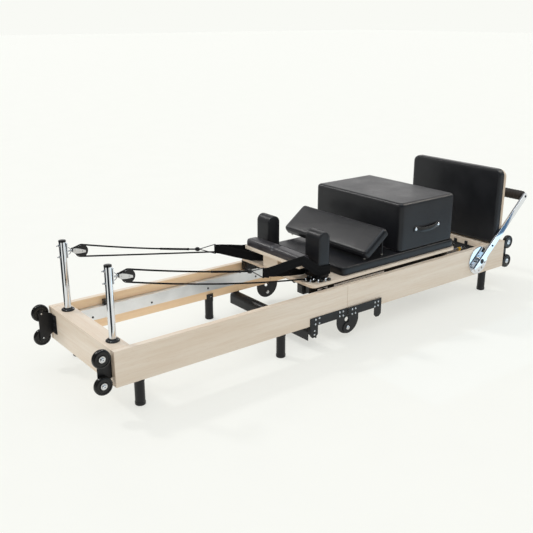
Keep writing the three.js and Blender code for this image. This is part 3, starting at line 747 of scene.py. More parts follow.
def strip_outline(tip, tab_bottom):
    """Half a hinge plate's strip, from the fold to its tip, with the tab that hangs there."""
    end = math.copysign(1, tip)
    root, back = end * 0.5, tip - end * 50
    tab = [(tip, tab_bottom + 14), (tip - end * 14, tab_bottom), (tip - end * 36, tab_bottom)]
    return [(root, 115), (root, 160), (tip, 160), *tab, (back, tab_bottom + 14), (back, 115)]


def hinge_plates(side, s):
    eye_hole = circle(-7, 100, 12, 24)
    left = [(-216, 149), (-193, 152), (-218, 125), (-192, 125), (-223, 91), (-224, 71)]
    left += [(-55, 148), (-32, 148), (-55, 127), (-31, 125)]
    right = [(28, 146), (51, 146), (28, 121), (51, 121), (192, 145), (216, 145), (191, 122), (216, 123)]
    # Riser half: strip and full lobe in the inner layer.
    span = (s * RISER_PLATE, s * (RISER_PLATE + PLATE))
    lobe = arc(*LOBE, 180, 360, 40) + [(73, 117.7), (0.4, 117.7), (0.4, 118), (-73, 118)]
    riser = Piece(f"{side}_hinge_plate_riser_half", "steel")
    riser.add(POWDER, plate(strip_outline(-250, 55), span))
    riser.add(POWDER, plate(lobe, (span[0], span[1] - s * 0.02), holes=[eye_hole]))
    riser.add(STEEL, cross_rod((0, PIVOT_Z), s * 323, s * 342.6, 7))
    riser.add(STEEL, nut((0, s * 331, PIVOT_Z), (0, -s, 0), 11, 5))
    riser.add(STEEL, bolt((0, s * (FOOT_PLATE + PLATE + GAP + 0.5), PIVOT_Z), (0, s, 0), 11, 4.3))
    spots = [(x, s * (RISER_PLATE + PLATE), z) for x, z in left]
    riser.add(STEEL, *bolts(spots, (0, s, 0), 5.2, 2.4))
    riser.place("riser_half", "black_steel")

    # Foot half: strip, half lobe and pivot eye in the outer layer, spaced off its rail.
    span = (s * FOOT_PLATE, s * (FOOT_PLATE + PLATE))
    bore = circle(0, PIVOT_Z, 7.4, 24)
    half_lobe = arc(*LOBE, 270, 360, 24) + [(73, 118), (0.5, 118)]
    half_lobe += [(0.5, 100), (5, 95), (5, 60), (7.5, 53), (5, 46), (0.5, 42)]
    foot = Piece(f"{side}_hinge_plate_foot_half", "steel")
    foot.add(POWDER, plate(strip_outline(240, 60), span))
    foot.add(POWDER, plate(half_lobe, span))
    foot.add(POWDER, plate(circle(0, PIVOT_Z, 30.9, 40), (span[0], span[1] + s * 0.05), holes=[bore]))
    foot.add(POWDER, block((105, 240), (s * RISER_PLATE, s * (FOOT_PLATE + 1)), (120, 158), 0.6, 1))
    spots = [(x, s * (FOOT_PLATE + PLATE), z) for x, z in right]
    foot.add(STEEL, *bolts(spots, (0, s, 0), 5.2, 2.4))
    foot.place("foot_half", "black_steel")


def lift_bar():
    """The folded channel between the hinge tabs, used to lift the middle of the bed."""
    outer = [(-262, 47), *arc(-236, 87, 26, 180, 90, 8), *arc(-231, 87, 26, 90, 0, 8), (-205, 47)]
    inner = [(-208, 47), *arc(-231, 87, 23, 0, 90, 8), *arc(-236, 87, 23, 90, 180, 8), (-259, 47)]
    bar = Piece("lift_bar", "channel").add(POWDER, plate(outer + inner, (-SIDE, SIDE), bevel=0.5))
    bar.place("riser_half", "black_steel")


# ---------------------------------------------------------------- transport wheels


def wheel_mesh(x, z, s):
    """A skate wheel with a raised rim and hub, recessed for the two bearings that wheels adds."""
    half = [(4.3, 10.6), (15, 10.6), (15.6, 11.6), (18.5, 11.6), (20, 9), (30, 9), (31.5, 12), (34, 12)]
    profile = mirrored(half + [(38.6, 9.6), (40.4, 6)], (WHEEL_R, 0))
    return revolve(profile, (x, s * WHEEL_Y, z), (0, 1, 0), 48, closed=True)


def wheels(side, s):
    for end, sign in (("riser_end", -1), ("foot_end", 1)):
        bracket_piece(side, s, end, sign)
        for level, z in WHEEL_Z.items():
            node = f"{side}_{level}_wheel_{end}"
            wheel = Piece(node, "tyre").add(RUBBER, wheel_mesh(sign * WHEEL_X, z, s))
            for outward in (-1, 1):
                seal = [(4.4, 8), (14.5, 8), (14.5, 10.9), (11, 11.2), (7, 11.2), (4.4, 10.9)]
                at = (sign * WHEEL_X, s * WHEEL_Y, z)
                wheel.add(STEEL, revolve(seal, at, (0, outward, 0), 32, closed=True))
            root = (level, end) == ("lower", "riser_end")
            wheel.place("riser_end_lower_wheels" if root else node, "black_plastic")


def bracket_piece(side, s, end, sign):
    """The bent plate that carries a pair of wheels, its fixing bolts and the two wheel bolts."""
    face = sign * (HALF + GAP)
    bracket = Piece(f"{side}_wheel_bracket_{end}", "plate")
    bracket.add(POWDER, block((face, face + sign * PLATE), (s * 250, s * 301), (158, 250), 1, 2))
    outline = arc(WHEEL_X, 139, 15, 270, 360, 8) + arc(WHEEL_X, 259, 15, 0, 90, 8)
    outline += [(HALF + GAP, 250), (HALF + GAP, 158)]
    bracket.add(POWDER, plate([(sign * u, v) for u, v in outline], (s * 297, s * 301), bevel=0.8))
    spots = [(face + sign * PLATE, s * 268, z) for z in (174, 204, 234)]
    bracket.add(DARK_STEEL, *bolts(spots, (sign, 0, 0), 6, 3.4))
    for z in WHEEL_Z.values():
        x = sign * WHEEL_X
        head = s * (WHEEL_Y + 12 + 0.8)
        bracket.add(STEEL, cross_rod((x, z), s * 296, head, 4))
        bracket.add(CHROME, bolt((x, head - s * 1.6, z), (0, s, 0), 9.4, 4.4))
        bracket.add(STEEL, cross_rod((x, z), s * 301, s * 302.2, 8))
    half = "riser_half" if sign < 0 else "foot_half"
    bracket.place(half, "black_steel")


# ---------------------------------------------------------------- riser posts, pulleys and ropes


def riser_posts(side, s):
    y = s * POST_Y
    post = Piece(f"{side}_riser_post", "chrome")
    tube = [(POST_R, RAIL_TOP + 2), (POST_R, POST_TOP - 9)]
    post.add(CHROME, revolve(tube, (POST_X, y, 0), segments=48))
    flange = [(30, 0.3), (30, 3.4), (28, 5.6), (24, 6.4), (20.5, 9), (19, 12.4), (17.6, 13)]
    flange.append((POST_R - 0.2, 13))
    post.add(POWDER, revolve(flange, (POST_X, y, RAIL_TOP), segments=48))
    spots = [(*spot, RAIL_TOP + 5.6) for spot in arc(POST_X, y, 24.6, 45, 315, 3)]
    post.add(STEEL, *bolts(spots, (0, 0, 1), 3, 1.4))
    cap = [(POST_R + 0.5, -9), (POST_R + 0.9, -4), (POST_R, -1.2), (11, 0.2), (0, 0.8)]
    post.add(PLASTIC, revolve(cap, (POST_X, y, POST_TOP), segments=48))
    saddle = rounded((y - 12, y + 12), (528, 600), 6)
    post.add(CHROME, plate(saddle, (POST_X + POST_R - 1, POST_X + POST_R + 3.6), "YZ", bevel=0.7))
    for z in (537, 590):
        start = POST_X - POST_R - 12
        post.add(STEEL, rod((start, y, z), (POST_X + POST_R + 5, y, z), 3, 12))
        post.add(STEEL, nut((POST_X - POST_R + 0.5, y, z), (-1, 0, 0), 6, 4.6))
        post.add(STEEL, bolt((POST_X + POST_R + 3.4, y, z), (1, 0, 0), 5.4, 2.8))
    shank_end = BLOCK_X - 2 * GAP
    post.add(STEEL, rod((POST_X + POST_R, y, BLOCK_Z), (shank_end, y, BLOCK_Z), 4, 16))
    post.add(STEEL, revolve([(7, 0), (7, 3)], (shank_end - 6, y, BLOCK_Z), (1, 0, 0), 24))
    bend = ((18, -15), (28, -15), (36, -8), (38, 0), (36, 8), (28, 15), (18, 15))
    loop = [(POST_X + u, y, BLOCK_Z + v) for u, v in bend]
    post.add(STEEL, sweep(smooth_path(loop, 4), circle(0, 0, 2, 8), up=(0, 1, 0)))
    post.place("riser_half", "chrome")


def pulley_blocks(side, s):
    y = s * POST_Y
    shell = arc(SHEAVE_X, SHEAVE_Z, RIM + 1, -108, 90, 28)
    shell += [(BLOCK_X, BLOCK_Z + 8), (BLOCK_X, BLOCK_Z - 8)]
    cheeks = Piece(f"{side}_pulley_block", "cheeks")
    half = [(BLOCK_X - 1, 8.4), (BLOCK_X + 12, 12.6), (SHEAVE_X - 12, 11), (SHEAVE_X + 17, 5)]
    lean = (BLOCK_Z - SHEAVE_Z) / (BLOCK_X - SHEAVE_X)
    strap = [(u, SHEAVE_Z + lean * (u - SHEAVE_X) + v) for u, v in half]
    strap += [(u, SHEAVE_Z + lean * (u - SHEAVE_X) - v) for u, v in reversed(half)]
    for outward in (-1, 1):
        cheeks.add(PLASTIC, plate(shell, (y + outward * 6.6, y + outward * 10.6), bevel=1.2))
        cheeks.add(STEEL, plate(strap, (y + outward * 10.4, y + outward * 12.0), bevel=0.5))
        centre = (SHEAVE_X, y + outward * 11, SHEAVE_Z)
        cheeks.add(STEEL, bolt(centre, (0, outward, 0), 5, 1))
        cheeks.add(STEEL, bolt((BLOCK_X + 9, y + outward * 11, BLOCK_Z - 1), (0, outward, 0), 3, 1))
    cheeks.add(STEEL, cross_rod((SHEAVE_X, SHEAVE_Z), y - 11, y + 11, 4))
    root = block((BLOCK_X + 0.2, BLOCK_X + 9), (y - 11, y + 11), (BLOCK_Z - 8, BLOCK_Z + 8), 1.5)
    cheeks.add(PLASTIC, root)
    cheeks.place("riser_half", "black_plastic")

    profile = mirrored([(4.3, 6), (RIM, 6), (RIM, 4.2), (24.6, 3), (GROOVE, 1.4)])
    sheave = Piece(f"{side}_sheave", "wheel")
    sheave.add(ALUMINIUM, revolve(profile, (SHEAVE_X, y, SHEAVE_Z), (0, 1, 0), 48, closed=True))
    sheave.place(f"{side}_sheave", "aluminium")


def leaving(target, radius, upper):
    """Where a straight run to the target leaves the sheave, as an angle."""
    dx, dz = target[0] - SHEAVE_X, target[1] - SHEAVE_Z
    offset = math.acos(radius / math.hypot(dx, dz))
    return math.atan2(dz, dx) + (offset if upper else -offset)


def sagging(start, end, sag, steps):
    """Points between two others, hanging a little below the straight line."""
    out = []
    for i in range(steps + 1):
        share = i / steps
        out.append(Vector(start).lerp(Vector(end), share) - Vector((0, 0, 4 * sag * share * (1 - share))))
    return out


def ropes(side, s):
    turn = GROOVE + 0.4 + ROPE_R
    last = leaving(STOPPER, turn, True) - math.tau
    up = (0, 1, 0)
    y = s * POST_Y
    cleat, ring = CLEAT[side], RING[side]
    first = leaving(cleat, turn, False)
    angles = [first + (last - first) * i / 28 for i in range(29)]
    wrap = [(SHEAVE_X + turn * math.cos(a), y, SHEAVE_Z + turn * math.sin(a)) for a in angles]
    lower = sagging((cleat[0], y, cleat[1]), wrap[0], SAG[side], 60)
    upper = sagging(wrap[-1], (STOPPER[0], y, STOPPER[1]), 6, 44)
    rope = Piece(f"{side}_rope", "braid")
    rope.add(ROPE, sweep(lower + wrap[1:-1] + upper, circle(0, 0, ROPE_R + 0.4, 12), up))
    splice = [p for p in upper if -750 < p[0] < STOPPER[0] - 44]
    rope.add(WEBBING, sweep(splice, circle(0, 0, ROPE_R + 1.8, 14), up))
    for end, radius in ((splice[0], 5.6), (splice[-1], 6.4)):
        run = (splice[1] - splice[0]).normalized()
        collar = [(ROPE_R, -5), (radius, -3.5), (radius, 3.5), (ROPE_R, 5)]
        rope.add(RUBBER, revolve(collar, end, run, 20))
    knob = [(0, -13), (7, -12), (10.4, -6), (11.2, 1), (9.4, 8), (5.4, 12), (0, 13)]
    rope.add(RUBBER, revolve(knob, (STOPPER[0], y, STOPPER[1]), (1, 0, -0.25), 24))
    legs = ((-2, 25), (1, 22), (1, -22), (-2, -25))
    triangle = [(STOPPER[0] + 10, y, STOPPER[1] - 2), *[(ring[0] + u, y, ring[1] + v) for u, v in legs]]
    rope.add(DARK_STEEL, sweep(resample(triangle, 5), circle(0, 0, 2.4, 8), up, closed=True))
    rope.add(WEBBING, shoulder_loop(side, s), ring_wrap(s, ring))
    made = rope.place(None, "webbing", sharp=50, weighted=False)
    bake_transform(made)


def strap_height(x, outward, side):
    """The middle of the strap: it falls from the ring, dips under the headrest and rests by the deck."""
    ring, front = RING[side], SHOULDER["x"][0]
    at_dip, at_rest = STRAP_RAISE[side]
    if x < STRAP_DIP[0]:
        share = (x - ring[0] - 5) / (STRAP_DIP[0] - ring[0] - 5)
        return ring[1] + (STRAP_DIP[1] - ring[1]) * share + outward * at_dip * share
    share = min(1.0, (x - STRAP_DIP[0]) / (front - STRAP_DIP[0]))
    return STRAP_DIP[1] + (STRAP_LOW - STRAP_DIP[1]) * share + outward * (at_dip + (at_rest - at_dip) * share)


def strap_section(width, thickness):
    return rounded((-thickness / 2, thickness / 2), (-width / 2, width / 2), thickness * 0.4, 2)


def shoulder_loop(side, s):
    """Webbing that leaves the ring, passes round the shoulder rest and comes back, a little rumpled."""
    inner, outer = SHOULDER["y"][0] - 7, SHOULDER["y"][1] + 7
    front, rear, start = SHOULDER["x"][0], SHOULDER["x"][1] + 7, RING[side][0] + 4
    corner = 14
    plan = [(start, POST_Y - 5, 0), (STRAP_DIP[0], 158, 0), (front, inner, 0), (rear - corner, inner, 0)]
    plan += [(x, y, 0.1) for x, y in arc(rear - corner, inner + corner, corner, 270, 360, 6)]
    plan += [(x, y, 0.9) for x, y in arc(rear - corner, outer - corner, corner, 0, 90, 6)]
    plan += [(front, outer, 1), (STRAP_DIP[0], 256, 1), (start, POST_Y + 5, 1)]
    path, widths = [], []
    for (x0, y0, o0), (x1, y1, o1) in zip(plan, plan[1:]):
        count = max(1, int(math.hypot(x1 - x0, y1 - y0) / 12))
        for i in range(count):
            t = i / count
            x, y, outward = x0 + (x1 - x0) * t, y0 + (y1 - y0) * t, o0 + (o1 - o0) * t
            rumple = noise.noise(Vector((x, y, 40 * s)) / 46)
            path.append((x, s * (y + 2.4 * rumple), strap_height(x, outward, side) + 1.6 * rumple))
            widths.append(0.86 + 0.14 * min(1.0, (x - start) / 90) + 0.05 * rumple)
    path.append((start, s * (POST_Y + 5), RING[side][1]))
    widths.append(0.86)
    return sweep(path, strap_section(48, 2.6), widths=widths)


def ring_wrap(s, ring):
    """The sewn end of the strap, folded round the ring's straight side."""
    x0, z = ring
    plan = [(30, -5.4), (6, -5.4), *arc(0, 0, 5.4, 270, 90, 8), (6, 5.4), (30, 5.4)]
    path = [(x0 + u, s * POST_Y + v, z - 0.3 * max(0, u)) for u, v in plan]
    return sweep(path, strap_section(43, 3.0))


# ---------------------------------------------------------------- carriage


def carriage_deck():
    deck = Piece("carriage_deck", "maple")
    outline = rounded((-212, 872), (-303, 303), 30, 8)
    deck.add(MAPLE_X, plate(outline, (DECK_BOTTOM, DECK_TOP), "XY", bevel=2.2))
    height = (DECK_TOP - 1, HEADREST_Z - GAP)
    deck.add(MAPLE_Y, block((-205, -145), (-17, 104), height, 1.5))
    deck.add(MAPLE_Y, block((-165, -145), (-104, -16), height, 1.5))
    deck.place("carriage", "maple")


def spring_hook(piece, x, y, level, s):
    """A small black snap clip with a bright gate."""
    loop = [(0, 0, 3), (-5, 0, 13), (-14, 4, 16), (-22, 7, 10), (-20, 8, 3)]
    path = smooth_path([(x + u, y + s * v, level + w) for u, v, w in loop], 5)
    piece.add(CHROME, sweep(path, circle(0, 0, 2.2, 8), up=(0, 1, 0)))
    piece.add(PLASTIC, block((x - 4, x + 15), (y - 8, y + 8), (level + 0.3, level + 12), 2.5, 3))


def cleat_sets(side, s):
    """The rope cleats, guide eyes and spare strap hooks, one set in each front corner of the deck."""
    top = DECK_TOP
    y = s * POST_Y
    x, level = CLEAT[side]
    cleat = Piece(f"{side}_rope", "cleat", extra=True)
    cleat.add(PLASTIC, block((-196, -146), (y - 21, y + 21), (top + 0.3, top + 8), 2, 3))
    for offset in (-11, 11):
        cam = [(9.5, 0), (9.5, 3), (8, 4), (9.5, 5), (8, 6.5), (9.5, 8), (8.4, 10), (3, 11), (0, 11)]
        cleat.add(PLASTIC, revolve(cam, (-162, y + offset, top + 7.5), segments=28))
        cleat.add(STEEL, bolt((-162, y + offset, top + 18), (0, 0, 1), 3.6, 1.8))
    eye = level + 6
    loop = [(-6, -11, top + 5), (-7, -9, eye - 4), (-8, 0, eye), (-7, 9, eye - 4), (-6, 11, top + 5)]
    path = smooth_path([(x + u, y + v, z) for u, v, z in loop], 5)
    cleat.add(CHROME, sweep(path, circle(0, 0, 2, 8), up=(1, 0, 0)))
    tail = [(x + 1, y, level), (x + 9, y, level - 1), (-172, y, top + 14), (-140, y + s * 3, top + 9)]
    tail += [(-118, y + s * 16, top + 6), (-96, y + s * 34, top + 5)]
    cleat.add(ROPE, sweep(smooth_path(tail, 7), circle(0, 0, ROPE_R, 10)))
    for hook_x, across in ((-176, 36), (-144, 58), (-98, 62), (-150, 30)):
        spring_hook(cleat, hook_x, y + s * across, top, s)
    for index, (u, v, radius) in enumerate(((-128, 44, 13), (-116, 52, 10), (-150, 50, 9))):
        coil = [(*point, top + 9 + 5 * index) for point in circle(u, y + s * v, radius, 20)]
        cleat.add(WEBBING, sweep(coil, circle(0, 0, 4.2, 8), closed=True))
    cleat.place("carriage", "black_plastic")


def undercarriage():
    z = (263, DECK_BOTTOM - GAP)
    under = Piece("undercarriage", "frame")
    for x in (30, 330, 600, 815, 462):
        under.add(POWDER, block((x, x + 25), (-267, 267), z))
    for s in (-1, 1):
        under.add(POWDER, block((-205, 840), (s * 243, s * 268), z))
    under.add(POWDER, block((-150, -135), (-267, 267), z))
    for across in ((-223, -175), (254, 298)):
        under.add(POWDER, block((-205, -145), across, (245, z[1]), 3, 3))
        under.add(PLASTIC, block((-207.5, -204), (across[0] + 6, across[1] - 6), (252, z[1] - 8), 1.5))
    under.add(POWDER, block((462, ANCHOR_X - GAP), (-190, 190), (209, z[1]), 1))
    for x in ROLLER_X.values():
        for s in (-1, 1):
            lug = [(x - 12, 266), (x - 12, 250), *arc(x, 252, 12, 210, 330, 8), (x + 12, 250), (x + 12, 266)]
            bore = circle(x, AXLE_Z, 4.8, 20)
            under.add(POWDER, plate(lug, (s * 250, s * 262), holes=[bore], bevel=0.5))
    # Painted light: white strips under each deck edge, for the bright floor showing through the gap there.
    for s in (-1, 1):
        for ends in ((-150, -86), (-39, 321)):
            under.add(PAINTED_GAP_LIGHT, block(ends, (s * 268, s * 272), (267, 275), 0.6, 1))
    spots = [(-185, y, 245) for y in (-210, -188, 266, 286)]
    under.add(STEEL, *bolts(spots, (0, 0, -1), 4.5, 2.2))
    under.place("carriage", "black_steel")


def wheel_sets():
    """Two rollers on an axle at each end of the carriage."""
    half = [(4.4, -7.5), (10, -7.5), (11, -6.4), (17, -6.4), (18, -7.5), (20.2, -6.6), (21, -5)]
    for name, x in ROLLER_X.items():
        rollers = Piece(f"{name}_wheel_set", "rollers")
        rollers.add(STEEL, cross_rod((x, AXLE_Z), -286, 286, 4.5))
        for s in (-1, 1):
            roller = revolve(mirrored(half), (x, s * 284.5, AXLE_Z), (0, 1, 0), 40, closed=True)
            rollers.add(PLASTIC, roller)
        rollers.place(f"{name}_wheel_set", "black_plastic")


def springs():
    """Five extension springs with hooked ends, on an anchor bar under the carriage."""
    piece = Piece("springs", "coils")
    piece.add(POWDER, block((ANCHOR_X, ANCHOR_X + 14), (-190, 190), (211, 239), 1.5))
    radius, wire, turns = 10.0, 1.45, 96
    start, end = 492, 1092
    bars = ((482, 500, 7, 16, SPRING_STEEL), (1086, 1104, 7, 16, SPRING_STEEL), (1100, 1150, 2.6, 12, STEEL))
    steps = turns * 12
    for y in SPRING_Y:
        helix = []
        for i in range(steps + 1):
            angle = math.tau * i / 12
            across, up = radius * math.cos(angle), radius * math.sin(angle)
            helix.append((start + (end - start) * i / steps, y + across, SPRING_Z + up))
        piece.add(SPRING_STEEL, sweep(helix, circle(0, 0, wire, 5), up=(1, 0, 0)))
        for x0, x1, thick, sides, material in bars:
            piece.add(material, rod((x0, y, SPRING_Z), (x1, y, SPRING_Z), thick, sides))
        hook = [(1146, -3, 0), (1150, -3, 0), (1154, 0, 1), (1150, 3, 3), (1144, 3, 3)]
        path = smooth_path([(x, y + v, SPRING_Z + w) for x, v, w in hook], 4)
        piece.add(STEEL, sweep(path, circle(0, 0, 1.6, 6)))
        sleeve = YELLOW if abs(y) == max(SPRING_Y) else PLASTIC
        collar = [(10.2, 0), (11.4, 1.5), (11.4, 20), (10.2, 21.5)]
        for x in (486, 1076):
            piece.add(sleeve, revolve(collar, (x, y, SPRING_Z), (1, 0, 0), 24))
    made = piece.place(None, "spring_steel", sharp=50, weighted=False)
    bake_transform(made)


def spring_bar():
    """The maple cross bar with a slotted black hook plate for each spring."""
    bar = Piece("spring_bar", "maple")
    bar.add(MAPLE_Y, block((1155, 1185), (GAP - INNER, INNER - GAP), (190, 278), 1.8))
    bar.add(POWDER, block((1151.6, 1155.4), (-284, 284), (192, 243), 1))
    for y in SPRING_Y:
        bar.add(POWDER, block((1150, 1155.4), (y - 10, y + 10), (236, 264), 1.2))
        bar.add(POWDER, block((1147.6, 1150.8), (y - 4, y + 4), (238, 252), 0.8))
        bar.add(STEEL, bolt((1151.8, y + 30, 218), (-1, 0, 0), 5, 2.4))
    bar.place("foot_half", "maple")


def shoulder_rests(side, s):
    x0, x1 = SHOULDER["x"]
    y0, y1 = SHOULDER["y"]
    height = SHOULDER["top"] - DECK_TOP - GAP
    size = (x1 - x0 - 3, height - 1.5, y1 - y0 - 3)
    centre = Vector(((x0 + x1) / 2, s * (y0 + y1) / 2, DECK_TOP + GAP + height / 2))
    where = Matrix.Translation(centre) @ Matrix.Rotation(math.radians(90), 4, "X")
    node = f"{side}_shoulder_rest"
    corners = (8.0, size[0] / 2 - 0.5)
    rest = upholstered(node, size, corners, (7.0, 7.0), where, 1.2, "pad", step=9)
    settle(rest, node)


def headrest():
    board = Piece("headrest_board", "maple")
    outline = rounded((-235, -145), (-224, 224), 4, 3)
    board.add(MAPLE_Y, plate(outline, (HEADREST_Z, HEADREST_TOP), "XY", bevel=1.8))
    board.place("headrest", "maple")

    size = (73, 443, 37.0)
    where = Matrix.Translation((-195.5, 0, HEADREST_TOP + GAP + 18.5))
    look = {"material": HEADREST_SHEEN, "creases": ((0, 12, 11),), "step": 7}
    cover = upholstered("headrest_pad", size, (19.0, 19.0), (6.0, 18.0), where, 4.0, **look)
    settle(cover, "headrest")


def carriage_pad():
    size = (867, 577, 43.0)
    where = Matrix.Translation((435.5, 0, DECK_TOP + GAP + 22))
    cover = upholstered("carriage_pad", size, (22.0, 22.0), (6.0, 12.0), where, 1.4)
    settle(cover, "carriage")


# ---------------------------------------------------------------- loose cushions


def sitting_box():
    size, middle = (441, 673, 264.5), 53
    where = Matrix.Translation((637, middle, 492.5))
    look = {"welts": (False,), "pull": 2.0, "wrinkle": 0.6}
    box = upholstered("sitting_box", size, (26.0, 20.0), (9.0, 20.0), where, 1.5, **look)
    for s in (-1, 1):
        strap_handle(box, 632, middle + s * 335.5, 470, s)
    settle(box, "sitting_box")


def strap_handle(piece, x, face, z, s):
    """A grip that bows out from the side between two riveted ends."""
    reach = 91
    half = [(0, 10, -11), (reach / 2, 9, -8), (reach - 12, 3.5, -1), (reach + 13, 1.6, 0)]
    bow = [(-u, out, drop) for u, out, drop in reversed(half[1:])] + half
    path = smooth_path([(x + u, face + s * out, z + drop) for u, out, drop in bow], 6)
    piece.add(PLASTIC, sweep(path, strap_section(27, 4.0)))
    for u in (-reach, reach):
        rivet = [(0, 5.4), (5, 5.2), (8, 3.8), (9, 1.8), (9, 0.4)]
        patch = [(17, -1.5), (17, 1.4), (15.5, 2.6), (0, 2.8)]
        piece.add(CHROME, revolve(rivet, (x + u, face + s * 1.4, z), (0, s, 0), 28))
        piece.add(PIPING, revolve(patch, (x + u, face, z), (0, s, 0), 28))


def incline_pad():
    tilt = math.radians(37)
    length, thickness = 196, 46
    near, far = -290, 378
    low_x, low_z = 150, 402
    turn = Matrix.Translation((low_x, 0, low_z)) @ Matrix.Rotation(-tilt, 4, "Y")
    where = turn @ Matrix.Translation((length / 2, (near + far) / 2, -thickness / 2))
    size = (length - 3, far - near - 3, thickness - 3)
    cover = upholstered("incline_pad", size, (22.0, 22.0), (9.0, 19.0), where, 3.5, step=10)
    for distance in (16, length - 20):
        x = low_x + distance * math.cos(tilt) + thickness * math.sin(tilt)
        z = low_z + distance * math.sin(tilt) - thickness * math.cos(tilt)
        for y in (near + 40, far - 40):
            prop = [(4.2, PAD_TOP + 5), (4.2, z + 6), (0, z + 8)]
            cover.add(POWDER, revolve(prop, (x, y, 0), segments=20))
            foot = [(4, PAD_TOP + 0.5), (5, PAD_TOP + 1.4), (5, PAD_TOP + 5), (4, PAD_TOP + 6)]
            cover.add(PALE_PLASTIC, revolve(foot, (x, y, 0), segments=20))
    settle(cover, "incline_pad")


# ---------------------------------------------------------------- foot end


def along(distance, off=0.0, angle=BAR_ANGLE):
    """A point by its distance from the foot bar's pivot at an angle, and its offset square to that."""
    c, n = math.cos(angle), math.sin(angle)
    return BAR_X + distance * c - off * n, BAR_Z + distance * n + off * c


def foot_bar():
    bar = Piece("foot_bar_frame", "chrome")
    x, z = along(BAR_LENGTH)
    bar.add(CHROME, cross_rod((x, z), -351, 351, 16, 40))
    half = 19
    for s in (-1, 1):
        local = arc(BAR_LENGTH, 0, half, -90, 90, 16) + [(-BAR_TAIL, half), (-BAR_TAIL, -half)]
        outline = [along(u, v) for u, v in local]
        bar.add(CHROME, plate(outline, (s * ARM_IN, s * ARM_OUT), bevel=1.2))
        bar.add(STEEL, cross_rod((BAR_X, BAR_Z), s * (QUADRANT_OUT + 0.5), s * (ARM_IN + 0.5), 17.6, 36))
        bar.add(DARK_STEEL, bolt((BAR_X, s * (ARM_OUT - 0.2), BAR_Z), (0, s, 0), 15, 4))
        bar.add(DARK_STEEL, bolt((x, s * (ARM_OUT - 0.2), z), (0, s, 0), 8, 2.6))
        (x0, z0), (x1, z1) = along(60), along(118)
        bar.add(PLASTIC, rod((x0, s * 345.5, z0), (x1, s * 345.5, z1), 3.6, 16))
        bar.add(DARK_STEEL, cross_rod((x1, z1), s * 345, s * 365, 6, 24))
        bar.add(STEEL, cross_rod(along(14 - BAR_TAIL), s * 340, s * 350, 6))
    bar.place("foot_bar", "chrome")

    rings = []
    reach, steps = 343.5, 272
    for i in range(steps + 1):
        y = reach * (2 * i / steps - 1)
        end = min(1.0, (reach - abs(y)) / 6)
        rings.append((29 - 5 * (1 - end) ** 2 - 0.55 * (1 - math.cos(math.tau * i / 8)), y))
    sleeve = Piece("foot_bar_sleeve", "foam")
    profile = rings + [(16.3, reach), (16.3, -reach)]
    sleeve.add(FOAM, revolve(profile, (x, 0, z), (0, 1, 0), 40, closed=True))
    sleeve.place("foot_bar", "foam")


def quadrants(side, s):
    slots = []
    for degrees in (-100, -80, -55, -20):
        slot = ((54, -5), (54, 5), (71, 5), (71, -5))
        slots.append([along(r, t, math.radians(degrees)) for r, t in slot])
    quadrant = Piece(f"{side}_quadrant", "plate")
    disc = plate(circle(BAR_X, BAR_Z, 82, 72), (s * QUADRANT_IN, s * QUADRANT_OUT), holes=slots, bevel=0.8)
    quadrant.add(CHROME, disc)
    points = [along(38, 0, a) for a in (0.4, 2.5, 4.0, 5.4)]
    quadrant.add(DARK_STEEL, *bolts([(x, s * QUADRANT_OUT, z) for x, z in points], (0, s, 0), 5, 0.2))
    quadrant.place("foot_half", "chrome")


def jump_board():
    panel = Piece("jump_board_panel", "maple")
    outline = rounded((-348, 308), (RAIL_TOP + GAP, BOARD_TOP), 40, 10)
    panel.add(MAPLE_Y, plate(outline, (BOARD_X, BOARD_X + 18), "YZ", bevel=1.6))
    panel.add(STEEL, *[rod((PEG_X, y, 235), (PEG_X, y, 282), 4.5) for y in PEG_Y])
    spots = [(1226.4, y, z) for y in (-270, -20, 230) for z in (360, 650)]
    panel.add(DARK_STEEL, *bolts(spots, (1, 0, 0), 6, 2.4))
    panel.place("jump_board", "maple")

    size = (652, 441, 42.5)
    axes = Matrix(((0, 0, -1), (-1, 0, 0), (0, 1, 0))).to_4x4()
    where = Matrix.Translation((1187, -20, 505.3)) @ axes
    cover = upholstered("jump_board_pad", size, (38.0, 38.0), (5.0, 14.0), where, 1.2)
    settle(cover, "jump_board")


# ---------------------------------------------------------------- stage


def aim(thing, direction, axis):
    """Turns one axis of an object to a direction."""
    thing.rotation_mode = "QUATERNION"
    thing.rotation_quaternion = Vector(direction).to_track_quat(axis, "Y")


def stage_sheet(name, width, height, material):
    """A flat sheet that belongs to the studio, not to the object."""
    part = bmesh.new()
    bmesh.ops.create_grid(part, x_segments=1, y_segments=1, size=0.5)
    bmesh.ops.scale(part, vec=(width / 1000, height / 1000, 1), verts=part.verts[:])
    data = bpy.data.meshes.new(name)
    part.to_mesh(data)
    part.free()
    data.materials.append(material)
    sheet = linked(name, data)
    return sheet


